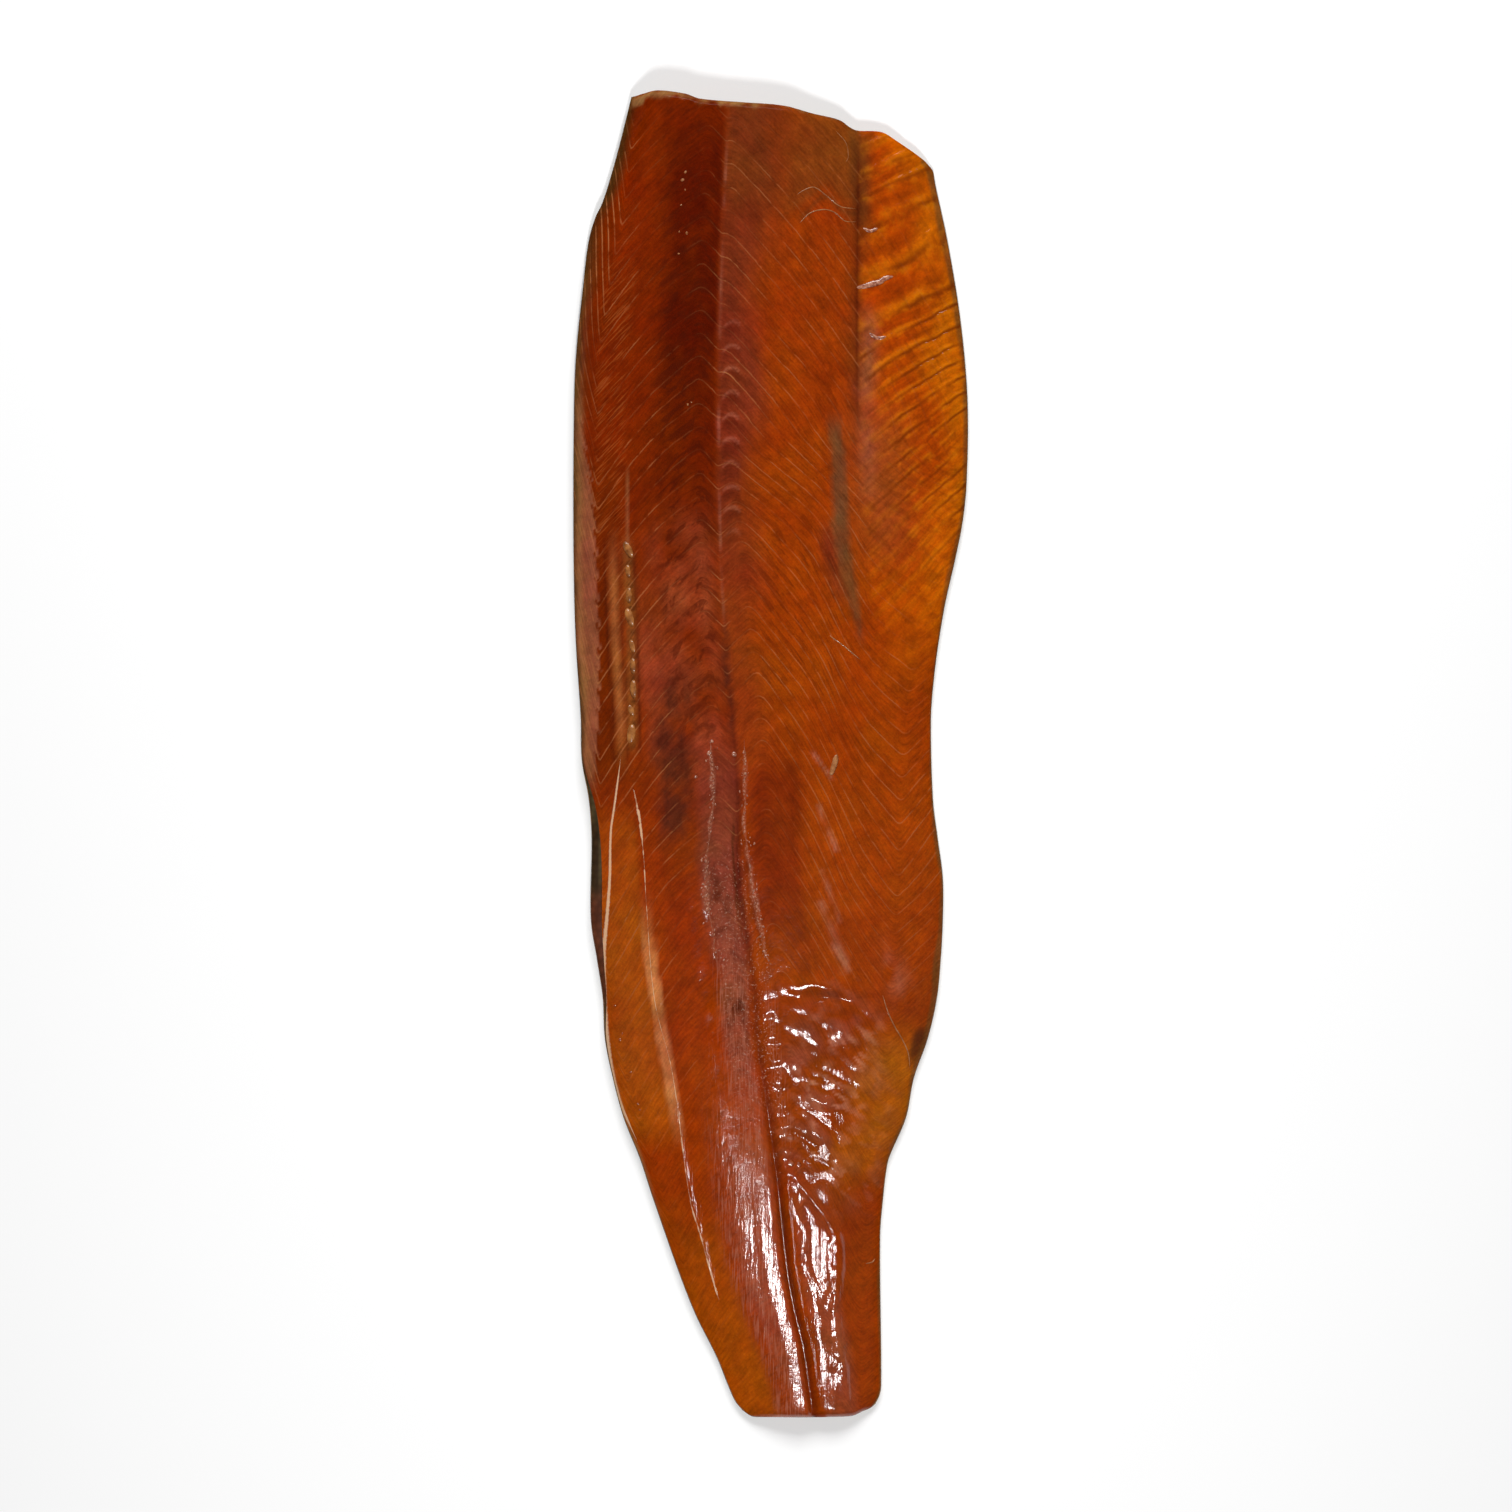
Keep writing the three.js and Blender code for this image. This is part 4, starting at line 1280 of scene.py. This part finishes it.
# Threads of fat: the places that each runs through, its width and its height.
threads = {
    "membraneAbove": (
        [(11.8, 48.6), (15.5, 46.2), (19.6, 45), (25.2, 48.6), (31.3, 52.9), (38.5, 53.6)], 0.5, 0.35,
    ),
    "membraneBelow": (
        [(13, 61.2), (17.8, 56.5), (24.1, 54.7), (28.8, 55.8), (33.5, 59.4), (38.5, 59.4)], 0.55, 0.4,
    ),
    "headLine": ([(29.5, 19.4), (33.8, 24.3), (34.9, 30.4), (33.8, 33)], 0.35, 0.25),
    "flakeStreak": ([(26.3, 245.7), (33, 250.5), (40.3, 256.5)], 0.6, 0.4),
    "fibre": ([(50.4, 407.2), (52.5, 414), (55.6, 421), (59.3, 427.3), (62.2, 434), (63, 441)], 0.6, 0.6),
    "sliver": ([(29.6, 299), (28.4, 303.7), (26.8, 308.4)], 3.0, 0.7),
    "tailEdge": ([(47.4, 527), (46, 528.5), (43, 529)], 0.6, 0.4),
}
# Flecks, blobs and drops: where each lies and its size.
flecks = [
    (-38, 39.4, 1.6), (-39.3, 42.9, 1.9), (-38.1, 47.3, 1.0), (-39.9, 54.1, 1.1), (-37.4, 66.6, 1.7),
    (-40.8, 66, 1.0), (-41, 75.8, 1.1), (-37, 143, 1.2), (-35.4, 142, 1.0),
]
bm = bmesh.new()
for points, width, tall in threads.values():
    layThread(bm, points, width, tall)
for x, down, size in flecks:
    addLump(bm, x, down, (size, 0.7 * size, 0.35 * size), random.uniform(0, 3))
smallPiece(bm, "fatThreads", fatMaterial)

shreds = {
    "count": 130,
    "size": (0.5, 1.8),
    "spread": 1.2,
    "blobs": [
        (-27.7, 298.5, 2.4), (-16.4, 298.8, 3.0), (-33.5, 309, 1.7), (-26.3, 293, 1.8), (-24, 305, 1.6),
    ],
}
wetFolds = {
    "flapStreak": (
        [(38.8, 88.9), (42.2, 88.4), (45.4, 87.3), (49.2, 86.2), (51.5, 84.6), (55.2, 83.7)], 2.6, 0.5,
    ),
    "flapCrescent": ([(44.4, 109.4), (46.6, 110.9), (49.4, 111.6), (52, 110.8)], 1.8, 0.6),
    "flapFleck": ([(41.6, 62), (44.6, 63.4), (48.2, 62)], 1.7, 0.5),
}
bm = bmesh.new()
for points, width, tall in wetFolds.values():
    layThread(bm, points, width, tall)
for i in range(shreds["count"]):
    side = tornLeft if i % 2 else tornRight
    down = random.uniform(relief["torn"][0] + 6, relief["torn"][1] - 4)
    x = float(along(seamLine, down) + along(side, down)) + random.gauss(0, shreds["spread"])
    long = random.uniform(*shreds["size"])
    addLump(bm, x, down, (0.6 * long, long, 0.3 * long), random.uniform(-0.9, 0.9), detail=1)
for x, down, size in shreds["blobs"]:
    addLump(bm, x, down, (size, 0.8 * size, 0.5 * size), random.uniform(0, 3))
smallPiece(bm, "tornShreds", shredMaterial)

roots = {
    "from": beadsFrom,
    "to": 298,
    "size": (4.0, 9.0, 1.9),
    "shrink": (0.7, 1.15),
    "wander": 0.9,
    "slip": 1.4,
    "lean": 0.15,
    "turn": 0.5,
}
bm = bmesh.new()
for down in np.arange(roots["from"], roots["to"], flakePitch):
    x = float(along(backLine, down)) + random.uniform(-roots["wander"], roots["wander"])
    shrink = random.uniform(*roots["shrink"])
    size = [shrink * part for part in roots["size"]]
    down += random.uniform(-roots["slip"], roots["slip"])
    turn = roots["lean"] + random.uniform(-roots["turn"], roots["turn"])
    addLump(bm, x, down, size, turn, sunk=0.1)
smallPiece(bm, "finRoots", rootMaterial)

drops = [
    (-70, 412, 1.2), (-67.7, 427.5, 1.4), (-66.6, 424.6, 0.9), (-62.8, 442, 1.2), (-59.6, 456.3, 1.4),
    (-58.7, 459, 1.0), (8.8, 482.4, 3.8), (12.4, 483.3, 3), (8.5, 471, 4.2), (28.6, 541, 2.4),
    (28.2, 549, 2.8),
]
dropHeight = 0.34
bm = bmesh.new()
for x, down, size in drops:
    addLump(bm, x, down, (size, 0.8 * size, min(0.5 * size, dropHeight)), 0, sunk=0.1)
smallPiece(bm, "oilDrops", oilMaterial)

print("floor, lights and camera")
studio = {
    "cameraHeight": 1500,
    "lookX": -6.55,
    "lookDown": 299.7,
    "frameWidth": 680.4,
    "focus": 12,
    "sensorWidth": 36,
    "floorColour": "#f4f4f4",
    "floorSize": 4,
    "floorGap": 0.2,
    "roomLight": 0.1,
}
# Each light's place, aim and size in millimetres, and its power in watts.
lights = {
    "headWindow": ((0, 1500, 1300), (0, 0, 0), (1300, 700), 36),
    "tailWindow": ((6, -545, 1180), (6, -60, 0), (95, 180), 9.4),
}
bm = bmesh.new()
bmesh.ops.create_grid(bm, x_segments=1, y_segments=1, size=studio["floorSize"])
floorMaterial, _, floorShader = newMaterial("paleFloor")
floorColour = (*toLinear(studio["floorColour"]), 1)
setInputs(floorShader, {"Base Color": floorColour, "Roughness": 1.0, "Specular IOR Level": 0.0})
floor = finishMesh(bm, "floor", floorMaterial)
floor.location.z = -studio["floorGap"] * mm


def areaLight(name, place, aim, size, power):
    lamp = bpy.data.lights.new(name, "AREA")
    lamp.shape = "RECTANGLE"
    lamp.size, lamp.size_y = size[0] * mm, size[1] * mm
    lamp.energy = power
    light = bpy.data.objects.new(name, lamp)
    bpy.context.scene.collection.objects.link(light)
    light.location = Vector(place) * mm
    light.rotation_euler = (Vector(aim) * mm - light.location).to_track_quat("-Z", "Y").to_euler()


for name, values in lights.items():
    areaLight(name, *values)

world = bpy.data.worlds.new("room")
bpy.context.scene.world = world
world.use_nodes = True
setInputs(world.node_tree.nodes["Background"], {"Color": (1, 1, 1, 1), "Strength": studio["roomLight"]})

cameraData = bpy.data.cameras.new("overhead")
camera = bpy.data.objects.new("overhead", cameraData)
bpy.context.scene.collection.objects.link(camera)
camera.location = (
    (studio["lookX"] - middleX) * mm,
    (sideLength / 2 - studio["lookDown"]) * mm,
    studio["cameraHeight"] * mm,
)
reach = studio["cameraHeight"] - studio["focus"]
cameraData.sensor_width = studio["sensorWidth"]
cameraData.lens = studio["sensorWidth"] * reach / studio["frameWidth"]
bpy.context.scene.camera = camera
bpy.context.scene.view_settings.view_transform = "Standard"
